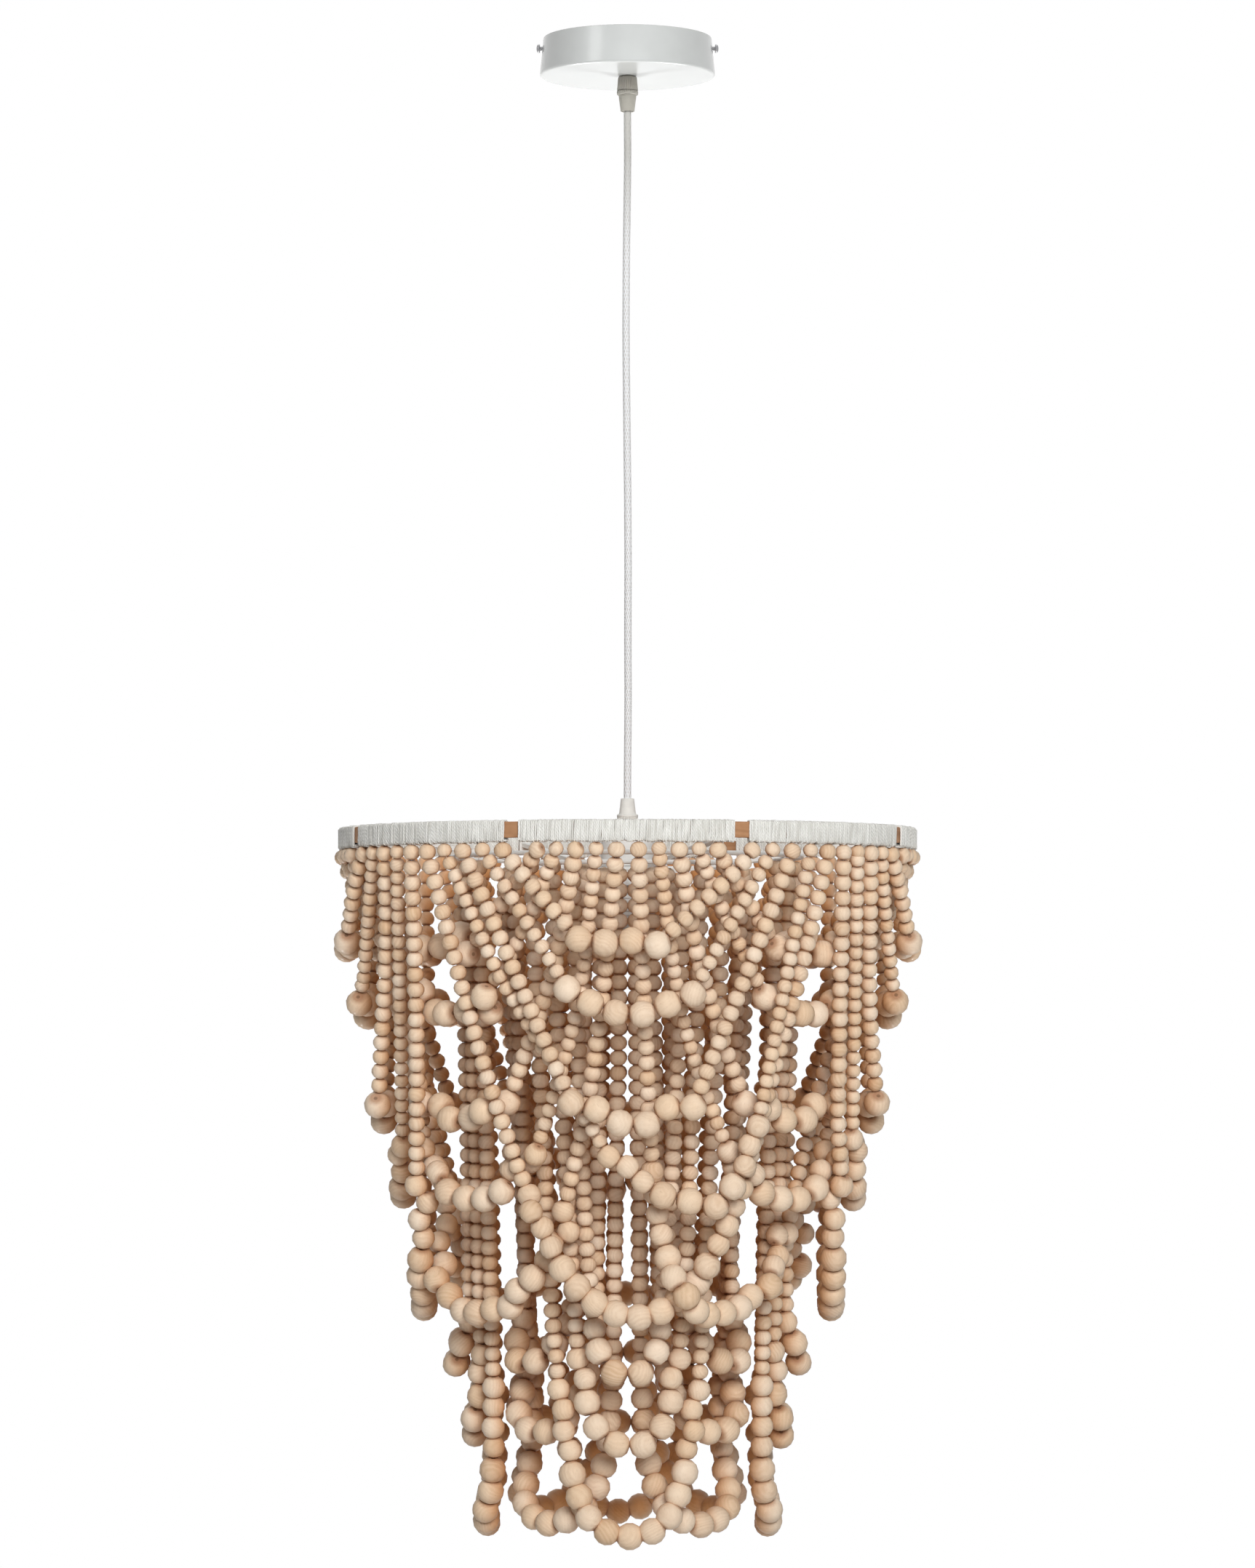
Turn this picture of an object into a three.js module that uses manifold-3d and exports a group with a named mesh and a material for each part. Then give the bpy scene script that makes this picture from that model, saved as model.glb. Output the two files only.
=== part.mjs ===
// Beaded chandelier, in millimetres, +Z up, the photographed front towards -Y.
// The origin is the middle of the ceiling plane, on the top face of the ceiling bracket.
import * as THREE from 'three';
import { mergeVertices } from 'three/addons/utils/BufferGeometryUtils.js';
import Module from 'manifold-3d';

const wasm = await Module();
wasm.setup();

// Clearances and fineness
const seatGap = 0.3;
const cutOverrun = 2;
const hoopSides = 72;
const fineSides = 36;
const mediumSides = 20;
const coarseSides = 12;
const fluteCount = 20;
const nutSides = 6;

// Ceiling rose
const roseTopRadius = 58.5;
const roseFlare = 2.4;
const roseHeight = 26.3;
const roseWall = 1;
const roseEdgeRadius = 1.4;
const roseCordHoleRadius = 5.4;

// Ceiling bracket
const bracketWidth = 14;
const bracketThickness = 1.5;
const bracketTabDepth = 13;
const bracketBendRadius = 2.5;
const bracketSlotLength = 14;
const bracketSlotWidth = 4.6;
const bracketSlotPitch = 60;

// Side screws
const sideScrewDepth = 7.2;
const sideScrewShankRadius = 1.5;
const sideScrewHeadRadius = 3;
const sideScrewHeadHeight = 2.4;
const sideScrewHeadStandoff = 1.8;
const sideScrewReach = 6;

// Terminal block
const terminalLength = 26;
const terminalWidth = 15;
const terminalHeight = 11;
const terminalPoles = 3;
const terminalEntryRadius = 1.7;
const terminalScrewWellRadius = 1.9;
const terminalScrewWellDepth = 5;

// Cord and cord grips
const cordRadius = 2.55;
const cordSides = 8;
const cordSteps = 34;
// How far the cord hangs off its line, in X and Y, at shares of the way between the two grips
const cordSways = [
  [0.069, 0.1, 0], [0.111, -0.1, 0.1], [0.157, -0.4, 0.2], [0.207, -0.7, 0.2], [0.262, -0.9, 0.1],
  [0.318, -1, 0], [0.375, -0.8, -0.1], [0.433, -0.5, -0.2], [0.492, -0.2, -0.3], [0.55, 0.1, -0.3],
  [0.609, 0.3, -0.2], [0.667, 0.4, 0], [0.726, 0.3, 0.2], [0.785, 0.3, 0.3], [0.843, 0.4, 0.3],
  [0.898, 0.3, 0.2], [0.944, 0.1, 0.1],
];
const gripBoreRadius = 3.2;
const gripStemRadius = 4.9;
const gripStemReach = 8;
const gripBodyHeight = 9.6;
const gripBodyTopRadius = 6.5;
const gripBodyBottomRadius = 7.3;
const gripFluteDepth = 0.45;
const gripFlangeRadius = 7.45;
const gripFlangeHeight = 2.7;
const gripConeHeight = 11.5;
const gripConeWideRadius = 6.2;
const gripConeMouthRadius = 4.75;
const gripMouthDishRadius = 3.9;
const gripMouthDishDepth = 1.5;
const gripCordReach = 3;
const cordStraightLength = 8;
const gripLipWidth = 0.35;
const gripNutRadius = 8.1;
const gripNutHeight = 4;
const lowerGripMouthDepth = 528.9;
const lowerConeHeight = 11.1;
const lowerFlangeHeight = 3.5;
const lowerConeMouthRadius = 4.65;
const lowerConeWideRadius = 5.85;
const lowerFlangeRadius = 7.35;
const lowerBodyRadius = 6.9;
const lowerBodyHeight = 8.2;

// Lampholder and shade ring
const holderCapTopRadius = 10;
const holderCapRadius = 19;
const holderCapHeight = 24;
const holderCapWall = 1.6;
const holderFlangeRadius = 22;
const holderFlangeHeight = 2.6;
const holderShellRadius = 19.5;
const holderShellWall = 3;
const holderShellHeight = 47;
const socketRadius = 13.7;
const socketFloorDepth = 20;
const socketFloorThickness = 3;
const shadeRingRadius = 27;
const shadeRingHeight = 8;
const shadeRingRibDepth = 0.7;

// Frame that carries the hoop
const frameRingRadius = 29;
const frameRingThickness = 2;
const frameArmCount = 4;
const frameArmWidth = 6;
const frameArmThickness = 3;
const frameFootWidth = 9;
const frameFootHeight = 9;
const frameFootThickness = 1.6;

// Hoop, its yarn and the inner rings
const hoopOuterRadius = 199.3;
const hoopThickness = 3.4;
const hoopHeight = 12;
const hoopTopDepth = 549.6;
const yarnThickness = 1;
const yarnGap = 10;
const yarnSteps = 7;
const innerRingInset = 74.9;
const coreRingInset = 37;
const innerRingWireRadius = 1.6;
const innerRingWireSides = 5;

// Beads: diameters of the four sizes, and the share of its diameter that a bead fills along the thread
const smallBead = 10.2;
const mediumBead = 11.6;
const largeBead = 16;
const largestBead = 18.6;
const beadPitchShare = 0.9;
const largestPitchShare = 0.97;
const beadNeckShare = 0.5;
const legShare = 0.86;
const threadRadius = 0.6;
const beadClearance = 0.8;

// Depth of the centre of each swag's lowest bead below the top of the hoop
const upperShortDrop = 80.4;
const upperLongDrop = 127.4;
const middleShortDrop = 198.4;
const middleLongDrop = 253.4;
const lowerDrop = 330.4;
const innerShortDrop = 368.4;
const innerMiddleDrop = 417.4;
const innerLongDrop = 480.4;

// Radial distance by which each swag's lowest bead stands out from the plane through the swag's two ends,
// in the straight panels and then in the diagonal ones
const upperShortBows = [12, -9];
const upperLongBows = [9, -2];
const middleShortBows = [4, -6];
const middleLongBows = [1, -5];
const lowerBows = [-4, -16];
const innerShortBows = [3, 20];
const innerMiddleBows = [-4, 22];
const innerLongBows = [-4, 22];

// Swags, from the shallowest: the size of the beads in the legs, the numbers of large and largest beads in
// each half of the bottom, the drop and the bows. In straight panels and then in diagonal ones, the half
// spans are shares of the angle between two panels, and the stiff shares say how much more each bead bends
// the line than the one below it: a tightly strung swag is round at its bottom and straight in its legs.
const swagLevels = [
  {
    leg: mediumBead, large: 0, largest: 2, drop: upperShortDrop, bows: upperShortBows,
    halfSpanShares: [0.55, 0.607], stiffShares: [0, 0.15],
  },
  {
    leg: smallBead, large: 0, largest: 3, drop: upperLongDrop, bows: upperLongBows,
    halfSpanShares: [0.65, 0.692], stiffShares: [0, 0.15],
  },
  {
    leg: mediumBead, large: 0, largest: 3, drop: middleShortDrop, bows: middleShortBows,
    halfSpanShares: [0.75, 0.778], stiffShares: [0, 0.15],
  },
  {
    leg: smallBead, large: 3, largest: 2, drop: middleLongDrop, bows: middleLongBows,
    halfSpanShares: [0.85, 0.866], stiffShares: [0, 0.15],
  },
  {
    leg: mediumBead, large: 4, largest: 4, drop: lowerDrop, bows: lowerBows,
    halfSpanShares: [0.95, 0.953], stiffShares: [0, 0.15],
  },
  {
    leg: mediumBead, large: 1, largest: 2, drop: innerShortDrop, bows: innerShortBows,
    halfSpanShares: [0.4, 0.583], stiffShares: [0.5, 0.5],
  },
  {
    leg: mediumBead, large: 2, largest: 3, drop: innerMiddleDrop, bows: innerMiddleBows,
    halfSpanShares: [0.55, 0.75], stiffShares: [0.5, 0.5],
  },
  {
    leg: mediumBead, large: 4, largest: 4, drop: innerLongDrop, bows: innerLongBows,
    halfSpanShares: [0.73, 0.917], stiffShares: [0.5, 0.5],
  },
];
const hoopLevels = 5;
// How far each swag's lowest point has slid sideways, as shares of its half chord, towards the next panel
const skewShares = {
  front: [-0.06, 0.02, 0.03, 0.4, 0.05, 0, 0.03, 0.02],
  front_right: [-0.06, 0.05, 0.02, 0.05, -0.42, 0.1, -0.06, -0.2],
  right: [-0.06, 0.05, -0.04, -0.06, -0.05, 0.05, -0.08, 0.06],
  back_right: [0.05, -0.08, 0.1, -0.12, 0.08, -0.06, 0.08, -0.05],
  back: [-0.04, 0.06, -0.08, 0.15, -0.1, 0.08, -0.05, 0.1],
  back_left: [0.06, 0.04, -0.1, 0.1, -0.06, -0.08, 0.1, 0.05],
  left: [0.03, -0.06, 0.05, -0.1, 0.04, 0.06, -0.06, -0.08],
  front_left: [-0.05, 0.04, -0.03, 0.02, -0.12, -0.08, 0.05, 0.12],
};
// A swag's beads turn from its bow to its legs' lean between these shares of its half span
const legStartShare = 0.3;
const legEndShare = 0.85;
// Diagonal panels pass behind the straight ones, so their legs lean in: at once, and then with depth
const diagonalLeanAtOnce = 10;
const diagonalLeanStart = 12;
const diagonalLeanShare = 0.19;
const straightLeanShare = 0.03;
const panelNames = [
  'front', 'front_right', 'right', 'back_right', 'back', 'back_left', 'left', 'front_left',
];
// Each thread of a panel carries these swags, one after another
const threads = [
  { name: 'upper', levels: [0, 1] },
  { name: 'middle', levels: [2, 3] },
  { name: 'lower', levels: [4] },
  { name: 'inner', levels: [5, 6, 7] },
];
const strandSides = 4;
const runDeviation = 1.5;

// Fineness of the search for a swag's pull, and of the beads' settling
const mostPullInBeads = 1000;
const pullRounds = 60;
const settleRounds = 160;
const homingShare = 0.06;
const homingRounds = settleRounds / 1.5;
const straighteningShare = 0.25;

// Materials
const finish = (color, roughness, metalness) => (
  new THREE.MeshStandardMaterial({ color, roughness, metalness })
);
const roseMaterial = finish(0xd5d8d7, 0.35, 0.1);
const steelMaterial = finish(0x9a9ba0, 0.35, 0.9);
const gripMaterial = finish(0xaaa59c, 0.5, 0);
const whitePlasticMaterial = finish(0xf1efeb, 0.5, 0);
const cordMaterial = finish(0xdad9d6, 0.85, 0);
const frameMaterial = finish(0xe9e7e2, 0.45, 0.2);
const hoopMaterial = finish(0x9a6a45, 0.65, 0);
const yarnMaterial = finish(0xeceeee, 0.95, 0);
const beadMaterial = finish(0xe3c8aa, 0.7, 0);

const chandelier = new THREE.Group();

function addPiece(name, geometry, material) {
  const piece = new THREE.Mesh(geometry, material);
  piece.name = name;
  chandelier.add(piece);
  return piece;
}

// Closed meshes to solids and back, for the cuts and joins
function solidOf(geometry) {
  const bare = geometry.clone();
  bare.deleteAttribute('normal');
  bare.deleteAttribute('uv');
  const merged = mergeVertices(bare, 1e-4);
  return new wasm.Manifold(new wasm.Mesh({
    numProp: 3,
    vertProperties: new Float32Array(merged.attributes.position.array),
    triVerts: new Uint32Array(merged.index.array),
  }));
}

function geometryOf(solid) {
  const mesh = solid.getMesh();
  const geometry = new THREE.BufferGeometry();
  geometry.setAttribute('position', new THREE.BufferAttribute(new Float32Array(mesh.vertProperties), 3));
  geometry.setIndex(new THREE.BufferAttribute(new Uint32Array(mesh.triVerts), 1));
  return geometry;
}

function cut(body, ...tools) {
  return geometryOf(tools.reduce((solid, tool) => solid.subtract(solidOf(tool)), solidOf(body)));
}

function join(first, ...others) {
  return geometryOf(others.reduce((solid, other) => solid.add(solidOf(other)), solidOf(first)));
}

// A closed profile of [radius, z] pairs, anticlockwise with the radius to the right, turned round Z
function turned(profile, sides) {
  const points = profile.map(([radius, z]) => new THREE.Vector2(radius, z));
  const lathe = new THREE.LatheGeometry([...points, points[0].clone()], sides);
  return lathe.rotateX(Math.PI / 2);
}

// Turned form whose points between two heights, and outside a core, are drawn in on every other side,
// as flutes are
function fluted(profile, flutes, lowest, highest, core, depth) {
  const geometry = turned(profile, flutes * 2);
  const position = geometry.attributes.position;
  const step = Math.PI / flutes;
  for (let i = 0; i < position.count; i += 1) {
    const point = new THREE.Vector3().fromBufferAttribute(position, i);
    const radius = Math.hypot(point.x, point.y);
    const side = Math.round(Math.atan2(point.y, point.x) / step + flutes * 2);
    if (side % 2 === 1 && point.z > lowest && point.z < highest && radius > core + seatGap) {
      const share = (radius - depth) / radius;
      position.setXYZ(i, point.x * share, point.y * share, point.z);
    }
  }
  return geometry;
}

function cylinderAlong(axis, radius, length, sides) {
  const cylinder = new THREE.CylinderGeometry(radius, radius, length, sides);
  if (axis === 'x') cylinder.rotateZ(Math.PI / 2);
  if (axis === 'z') cylinder.rotateX(Math.PI / 2);
  return cylinder;
}

// Closed solid through rings of equal numbers of points, with flat ends
function lofted(rings) {
  const sides = rings[0].length;
  const vertices = rings.flat().flatMap((point) => [point.x, point.y, point.z]);
  const faces = [];
  for (let ring = 0; ring + 1 < rings.length; ring += 1) {
    for (let side = 0; side < sides; side += 1) {
      const here = ring * sides + side;
      const beside = ring * sides + ((side + 1) % sides);
      faces.push(here, beside, beside + sides, here, beside + sides, here + sides);
    }
  }
  const last = (rings.length - 1) * sides;
  for (let side = 1; side + 1 < sides; side += 1) {
    faces.push(0, side + 1, side);
    faces.push(last, last + side, last + side + 1);
  }
  const geometry = new THREE.BufferGeometry();
  geometry.setAttribute('position', new THREE.Float32BufferAttribute(vertices, 3));
  geometry.setIndex(faces);
  return geometry;
}

// Ceiling rose: a thin cup, open at the top, with holes for the cord grip and the side screws
const roseBottomRadius = roseTopRadius + roseFlare;
const roseTop = -seatGap;
const roseFloor = roseTop - roseHeight;
const roseTaper = roseFlare / roseHeight;
const roseOuterAt = (z) => roseTopRadius + roseTaper * (roseTop - z);

function roseGeometry() {
  const corner = roseEdgeRadius;
  const cup = turned([
    [0, roseFloor],
    [roseBottomRadius - corner, roseFloor],
    [roseBottomRadius - corner * (1 - Math.SQRT1_2), roseFloor + corner * (1 - Math.SQRT1_2)],
    [roseOuterAt(roseFloor + corner), roseFloor + corner],
    [roseTopRadius, roseTop],
    [roseTopRadius - roseWall, roseTop],
    [roseOuterAt(roseFloor + corner) - roseWall, roseFloor + corner],
    [roseBottomRadius - corner - roseWall / 2, roseFloor + roseWall],
    [0, roseFloor + roseWall],
  ], fineSides);
  const cordHole = cylinderAlong('z', roseCordHoleRadius, roseWall + cutOverrun * 2, mediumSides);
  cordHole.translate(0, 0, roseFloor + roseWall / 2);
  const holeRadius = sideScrewShankRadius + seatGap;
  const screwHoles = cylinderAlong('x', holeRadius, (roseBottomRadius + cutOverrun) * 2, coarseSides);
  screwHoles.translate(0, 0, -sideScrewDepth);
  return cut(cup, cordHole, screwHoles);
}
addPiece('ceiling_rose', roseGeometry(), roseMaterial);

// Ceiling bracket: a strip with bent tabs that take the side screws
const bracketReach = Math.sqrt(
  (roseOuterAt(0) - roseWall - seatGap) ** 2 - (bracketWidth / 2) ** 2,
);

function bracketGeometry() {
  const outer = bracketBendRadius;
  const inner = bracketBendRadius - bracketThickness;
  const outline = new THREE.Shape();
  outline.moveTo(-bracketReach, -bracketTabDepth);
  outline.lineTo(-bracketReach, -outer);
  outline.absarc(-bracketReach + outer, -outer, outer, Math.PI, Math.PI / 2, true);
  outline.absarc(bracketReach - outer, -outer, outer, Math.PI / 2, 0, true);
  outline.lineTo(bracketReach, -bracketTabDepth);
  outline.lineTo(bracketReach - bracketThickness, -bracketTabDepth);
  outline.absarc(bracketReach - outer, -outer, inner, 0, Math.PI / 2, false);
  outline.absarc(-bracketReach + outer, -outer, inner, Math.PI / 2, Math.PI, false);
  outline.lineTo(-bracketReach + bracketThickness, -bracketTabDepth);
  const strip = new THREE.ExtrudeGeometry(outline, {
    depth: bracketWidth, bevelEnabled: false, curveSegments: 4,
  });
  strip.rotateX(Math.PI / 2).translate(0, bracketWidth / 2, 0);
  const slots = [-1, 1].map((side) => {
    const slot = new THREE.Shape();
    const half = bracketSlotLength / 2;
    slot.absarc(-half, 0, bracketSlotWidth / 2, Math.PI / 2, Math.PI * 1.5, false);
    slot.absarc(half, 0, bracketSlotWidth / 2, -Math.PI / 2, Math.PI / 2, false);
    const depth = bracketThickness + cutOverrun * 2;
    const tool = new THREE.ExtrudeGeometry(slot, { depth, bevelEnabled: false, curveSegments: 6 });
    return tool.translate((side * bracketSlotPitch) / 2, 0, -bracketThickness - cutOverrun);
  });
  const threadHoles = cylinderAlong(
    'x', sideScrewShankRadius + seatGap, (bracketReach + cutOverrun) * 2, coarseSides,
  );
  threadHoles.translate(0, 0, -sideScrewDepth);
  return cut(strip, ...slots, threadHoles);
}
addPiece('ceiling_bracket', bracketGeometry(), steelMaterial);

// Side screws: round heads that stand a little off the rose
function sideScrewGeometry() {
  const wallFace = roseOuterAt(-sideScrewDepth);
  const headSeat = wallFace + sideScrewHeadStandoff;
  const shankEnd = wallFace - roseWall - bracketThickness - sideScrewReach;
  const screw = turned([
    [0, shankEnd],
    [sideScrewShankRadius, shankEnd],
    [sideScrewShankRadius, headSeat],
    [sideScrewHeadRadius, headSeat],
    [sideScrewHeadRadius, headSeat + sideScrewHeadHeight / 3],
    [sideScrewHeadRadius * 0.75, headSeat + sideScrewHeadHeight * 0.85],
    [0, headSeat + sideScrewHeadHeight],
  ], coarseSides);
  return screw.rotateY(Math.PI / 2).translate(0, 0, -sideScrewDepth);
}
addPiece('side_screw_right', sideScrewGeometry(), steelMaterial);
addPiece('side_screw_left', sideScrewGeometry().rotateZ(Math.PI), steelMaterial);

// Terminal block, hung under the bracket
function terminalGeometry() {
  const top = -bracketThickness - seatGap;
  const block = new THREE.BoxGeometry(terminalLength, terminalWidth, terminalHeight);
  block.translate(0, 0, top - terminalHeight / 2);
  const tools = [];
  for (let pole = 0; pole < terminalPoles; pole += 1) {
    const place = terminalLength * ((pole + 0.5) / terminalPoles - 0.5);
    const entry = cylinderAlong('y', terminalEntryRadius, terminalWidth + cutOverrun * 2, coarseSides);
    tools.push(entry.translate(place, 0, top - terminalHeight / 3));
    const wellLength = terminalScrewWellDepth + cutOverrun;
    const well = cylinderAlong('z', terminalScrewWellRadius, wellLength, coarseSides);
    const wellMiddle = top - terminalHeight - cutOverrun + wellLength / 2;
    tools.push(well.translate(place, terminalWidth / 4, wellMiddle));
  }
  return cut(block, ...tools);
}
addPiece('terminal_block', terminalGeometry(), whitePlasticMaterial);

// Upper cord grip: a fluted body whose stem passes up through the rose, a nut on it, and a cone below
const gripBodyTop = roseFloor - seatGap;
const gripBodyBottom = gripBodyTop - gripBodyHeight;
const stemTop = roseFloor + roseWall + gripStemReach;
const gripConeTop = gripBodyBottom - seatGap;
const gripMouth = gripConeTop - gripFlangeHeight - gripConeHeight;

function gripBodyGeometry() {
  return fluted([
    [gripBoreRadius, gripBodyBottom],
    [gripBodyBottomRadius, gripBodyBottom],
    [gripBodyBottomRadius, gripBodyBottom + gripFluteDepth],
    [gripBodyTopRadius, gripBodyTop - gripFluteDepth],
    [gripBodyTopRadius - gripFluteDepth, gripBodyTop],
    [gripStemRadius, gripBodyTop],
    [gripStemRadius, stemTop],
    [gripBoreRadius, stemTop],
  ], fluteCount, gripBodyBottom + gripFluteDepth / 2, gripBodyTop - gripFluteDepth / 2,
  gripStemRadius, gripFluteDepth);
}
addPiece('upper_grip_body', gripBodyGeometry(), gripMaterial);

// Cone that clamps the cord, with a dished mouth that the cord leans in as it swings. Up is +1 for a
// mouth that looks down, as at the ceiling, and -1 for one that looks up.
function gripConeGeometry(flangeFace, flangeHeight, flangeRadius, coneHeight, wide, narrow, up) {
  const shoulder = flangeFace - up * flangeHeight;
  const mouth = shoulder - up * coneHeight;
  const dish = mouth + up * gripMouthDishDepth;
  const profile = [
    [gripBoreRadius, flangeFace],
    [flangeRadius - gripLipWidth, flangeFace],
    [flangeRadius, flangeFace - up * gripLipWidth],
    [flangeRadius, shoulder + up * gripLipWidth],
    [flangeRadius - gripLipWidth, shoulder],
    [wide, shoulder],
    [narrow, mouth],
    [gripMouthDishRadius, mouth],
    [gripBoreRadius, dish],
  ];
  return turned(up > 0 ? profile.reverse() : profile, mediumSides);
}
addPiece('upper_grip_cone', gripConeGeometry(
  gripConeTop, gripFlangeHeight, gripFlangeRadius, gripConeHeight, gripConeWideRadius, gripConeMouthRadius, 1,
), gripMaterial);

function gripNutGeometry() {
  const nut = cylinderAlong('z', gripNutRadius, gripNutHeight, nutSides);
  const bore = cylinderAlong('z', gripStemRadius + seatGap, gripNutHeight + cutOverrun * 2, mediumSides);
  const middle = roseFloor + roseWall + seatGap + gripNutHeight / 2;
  return cut(nut.translate(0, 0, middle), bore.translate(0, 0, middle));
}
addPiece('grip_nut', gripNutGeometry(), steelMaterial);

// Power cord: the free stretch between the two grips, which hangs a little wavy
const cordEndReach = gripMouthDishDepth + gripCordReach;
const cordTop = gripMouth + cordEndReach;
const lowerGripMouth = -lowerGripMouthDepth;
const cordBottom = lowerGripMouth - cordEndReach;
const cordRoute = [
  [0, 0, cordTop], [0, 0, gripMouth], [0, 0, gripMouth - cordStraightLength],
  ...cordSways.map(([share, x, y]) => [x, y, gripMouth + (lowerGripMouth - gripMouth) * share]),
  [0, 0, lowerGripMouth + cordStraightLength], [0, 0, lowerGripMouth], [0, 0, cordBottom],
];

function cordGeometry() {
  const route = new THREE.CatmullRomCurve3(cordRoute.map((place) => new THREE.Vector3(...place)));
  const section = new THREE.Shape(new THREE.EllipseCurve(0, 0, cordRadius, cordRadius).getPoints(cordSides));
  return new THREE.ExtrudeGeometry(section, { steps: cordSteps, extrudePath: route });
}
addPiece('power_cord', cordGeometry(), cordMaterial);

// Lower cord grip, with its mouth upwards
const lowerFlangeFace = lowerGripMouth - lowerConeHeight - lowerFlangeHeight;
addPiece('lower_grip_cone', gripConeGeometry(
  lowerFlangeFace, lowerFlangeHeight, lowerFlangeRadius, lowerConeHeight,
  lowerConeWideRadius, lowerConeMouthRadius, -1,
), whitePlasticMaterial);

const lowerBodyTop = lowerFlangeFace - seatGap;
const lowerBodyBottom = lowerBodyTop - lowerBodyHeight;
const holderCapTop = lowerBodyBottom - seatGap;
const holderCapBottom = holderCapTop - holderCapHeight;
addPiece('lower_grip_body', fluted([
  [gripBoreRadius, holderCapTop - holderCapWall - gripStemReach / 2],
  [gripStemRadius, holderCapTop - holderCapWall - gripStemReach / 2],
  [gripStemRadius, lowerBodyBottom],
  [lowerBodyRadius, lowerBodyBottom],
  [lowerBodyRadius, lowerBodyTop],
  [gripBoreRadius, lowerBodyTop],
], fluteCount, lowerBodyBottom - gripFluteDepth, lowerBodyTop + gripFluteDepth,
gripStemRadius, gripFluteDepth), whitePlasticMaterial);

// Lampholder: a domed cap, a shell with a flange and an insert that takes the bulb
function holderCapGeometry() {
  const rise = holderCapHeight / 3;
  const wall = holderCapWall;
  return turned([
    [gripStemRadius + seatGap, holderCapTop - wall],
    [holderCapTopRadius, holderCapTop - wall],
    [holderCapRadius - wall - rise * 0.3, holderCapTop - wall - rise * 0.3],
    [holderCapRadius - wall, holderCapTop - wall - rise],
    [holderCapRadius - wall, holderCapBottom],
    [holderCapRadius, holderCapBottom],
    [holderCapRadius, holderCapTop - rise],
    [holderCapRadius - rise * 0.3, holderCapTop - rise * 0.3],
    [holderCapTopRadius, holderCapTop],
    [gripStemRadius + seatGap, holderCapTop],
  ], mediumSides);
}
addPiece('lampholder_cap', holderCapGeometry(), whitePlasticMaterial);

const shellTop = holderCapBottom - seatGap;
const shellBottom = shellTop - holderShellHeight;
const flangeBottom = shellTop - holderFlangeHeight;
const shellInnerRadius = holderShellRadius - holderShellWall;
addPiece('lampholder_shell', turned([
  [shellInnerRadius, shellBottom],
  [holderShellRadius, shellBottom],
  [holderShellRadius, flangeBottom],
  [holderFlangeRadius, flangeBottom],
  [holderFlangeRadius, shellTop],
  [shellInnerRadius, shellTop],
], mediumSides), whitePlasticMaterial);

const socketFloor = shellTop - socketFloorDepth;
const insertRadius = shellInnerRadius - seatGap;
addPiece('lampholder_insert', turned([
  [0, socketFloor],
  [socketRadius, socketFloor],
  [socketRadius, shellBottom + holderShellWall],
  [insertRadius, shellBottom + holderShellWall],
  [insertRadius, socketFloor + socketFloorThickness],
  [0, socketFloor + socketFloorThickness],
], mediumSides), whitePlasticMaterial);

const frameRingTop = flangeBottom - seatGap;
const frameRingBottom = frameRingTop - frameRingThickness;
const shadeRingTop = frameRingBottom - seatGap;
const shadeRingBottom = shadeRingTop - shadeRingHeight;
const frameBore = holderShellRadius + seatGap;
addPiece('shade_ring', fluted([
  [frameBore, shadeRingBottom],
  [shadeRingRadius, shadeRingBottom],
  [shadeRingRadius, shadeRingTop],
  [frameBore, shadeRingTop],
], fluteCount, shadeRingBottom - cutOverrun, shadeRingTop + cutOverrun, frameBore, shadeRingRibDepth),
whitePlasticMaterial);

// Frame: a centre ring clamped by the shade ring, and arms that rise to feet against the hoop
const hoopTop = -hoopTopDepth;
const hoopBottom = hoopTop - hoopHeight;
const hoopMiddle = (hoopTop + hoopBottom) / 2;
const hoopInnerRadius = hoopOuterRadius - hoopThickness;
const hoopMiddleRadius = (hoopInnerRadius + hoopOuterRadius) / 2;
const panelAngle = (Math.PI * 2) / panelNames.length;
const armReach = hoopInnerRadius * Math.cos(Math.PI / hoopSides) - seatGap;
const armRootRadius = (frameBore + frameRingRadius) / 2;
const armRootMiddle = (frameRingTop + frameRingBottom) / 2;
const armSlope = (hoopMiddle - armRootMiddle) / (armReach - armRootRadius);
const armMiddleAt = (radius) => armRootMiddle + armSlope * (radius - armRootRadius);

function frameGeometry() {
  const ring = turned([
    [frameBore, frameRingBottom],
    [frameRingRadius, frameRingBottom],
    [frameRingRadius, frameRingTop],
    [frameBore, frameRingTop],
  ], fineSides);
  const arms = [];
  for (let arm = 0; arm < frameArmCount; arm += 1) {
    const rootRadius = frameRingRadius - frameRingThickness;
    const length = armReach - frameFootThickness / 2 - rootRadius;
    const rail = [rootRadius, rootRadius + length].map((radius) => {
      const middle = armMiddleAt(radius);
      return [[-1, -1], [1, -1], [1, 1], [-1, 1]].map(([across, up]) => new THREE.Vector3(
        radius, (across * frameArmWidth) / 2, middle + (up * frameArmThickness) / 2,
      ));
    });
    const foot = new THREE.BoxGeometry(frameFootThickness, frameFootWidth, frameFootHeight);
    const footOut = Math.sqrt(armReach ** 2 - (frameFootWidth / 2) ** 2);
    foot.translate(footOut - frameFootThickness / 2, 0, hoopMiddle);
    const turn = panelAngle / 2 + (arm * Math.PI * 2) / frameArmCount;
    arms.push(lofted(rail).rotateZ(turn), foot.rotateZ(turn));
  }
  return join(ring, ...arms);
}
addPiece('hoop_frame', frameGeometry(), frameMaterial);

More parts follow.
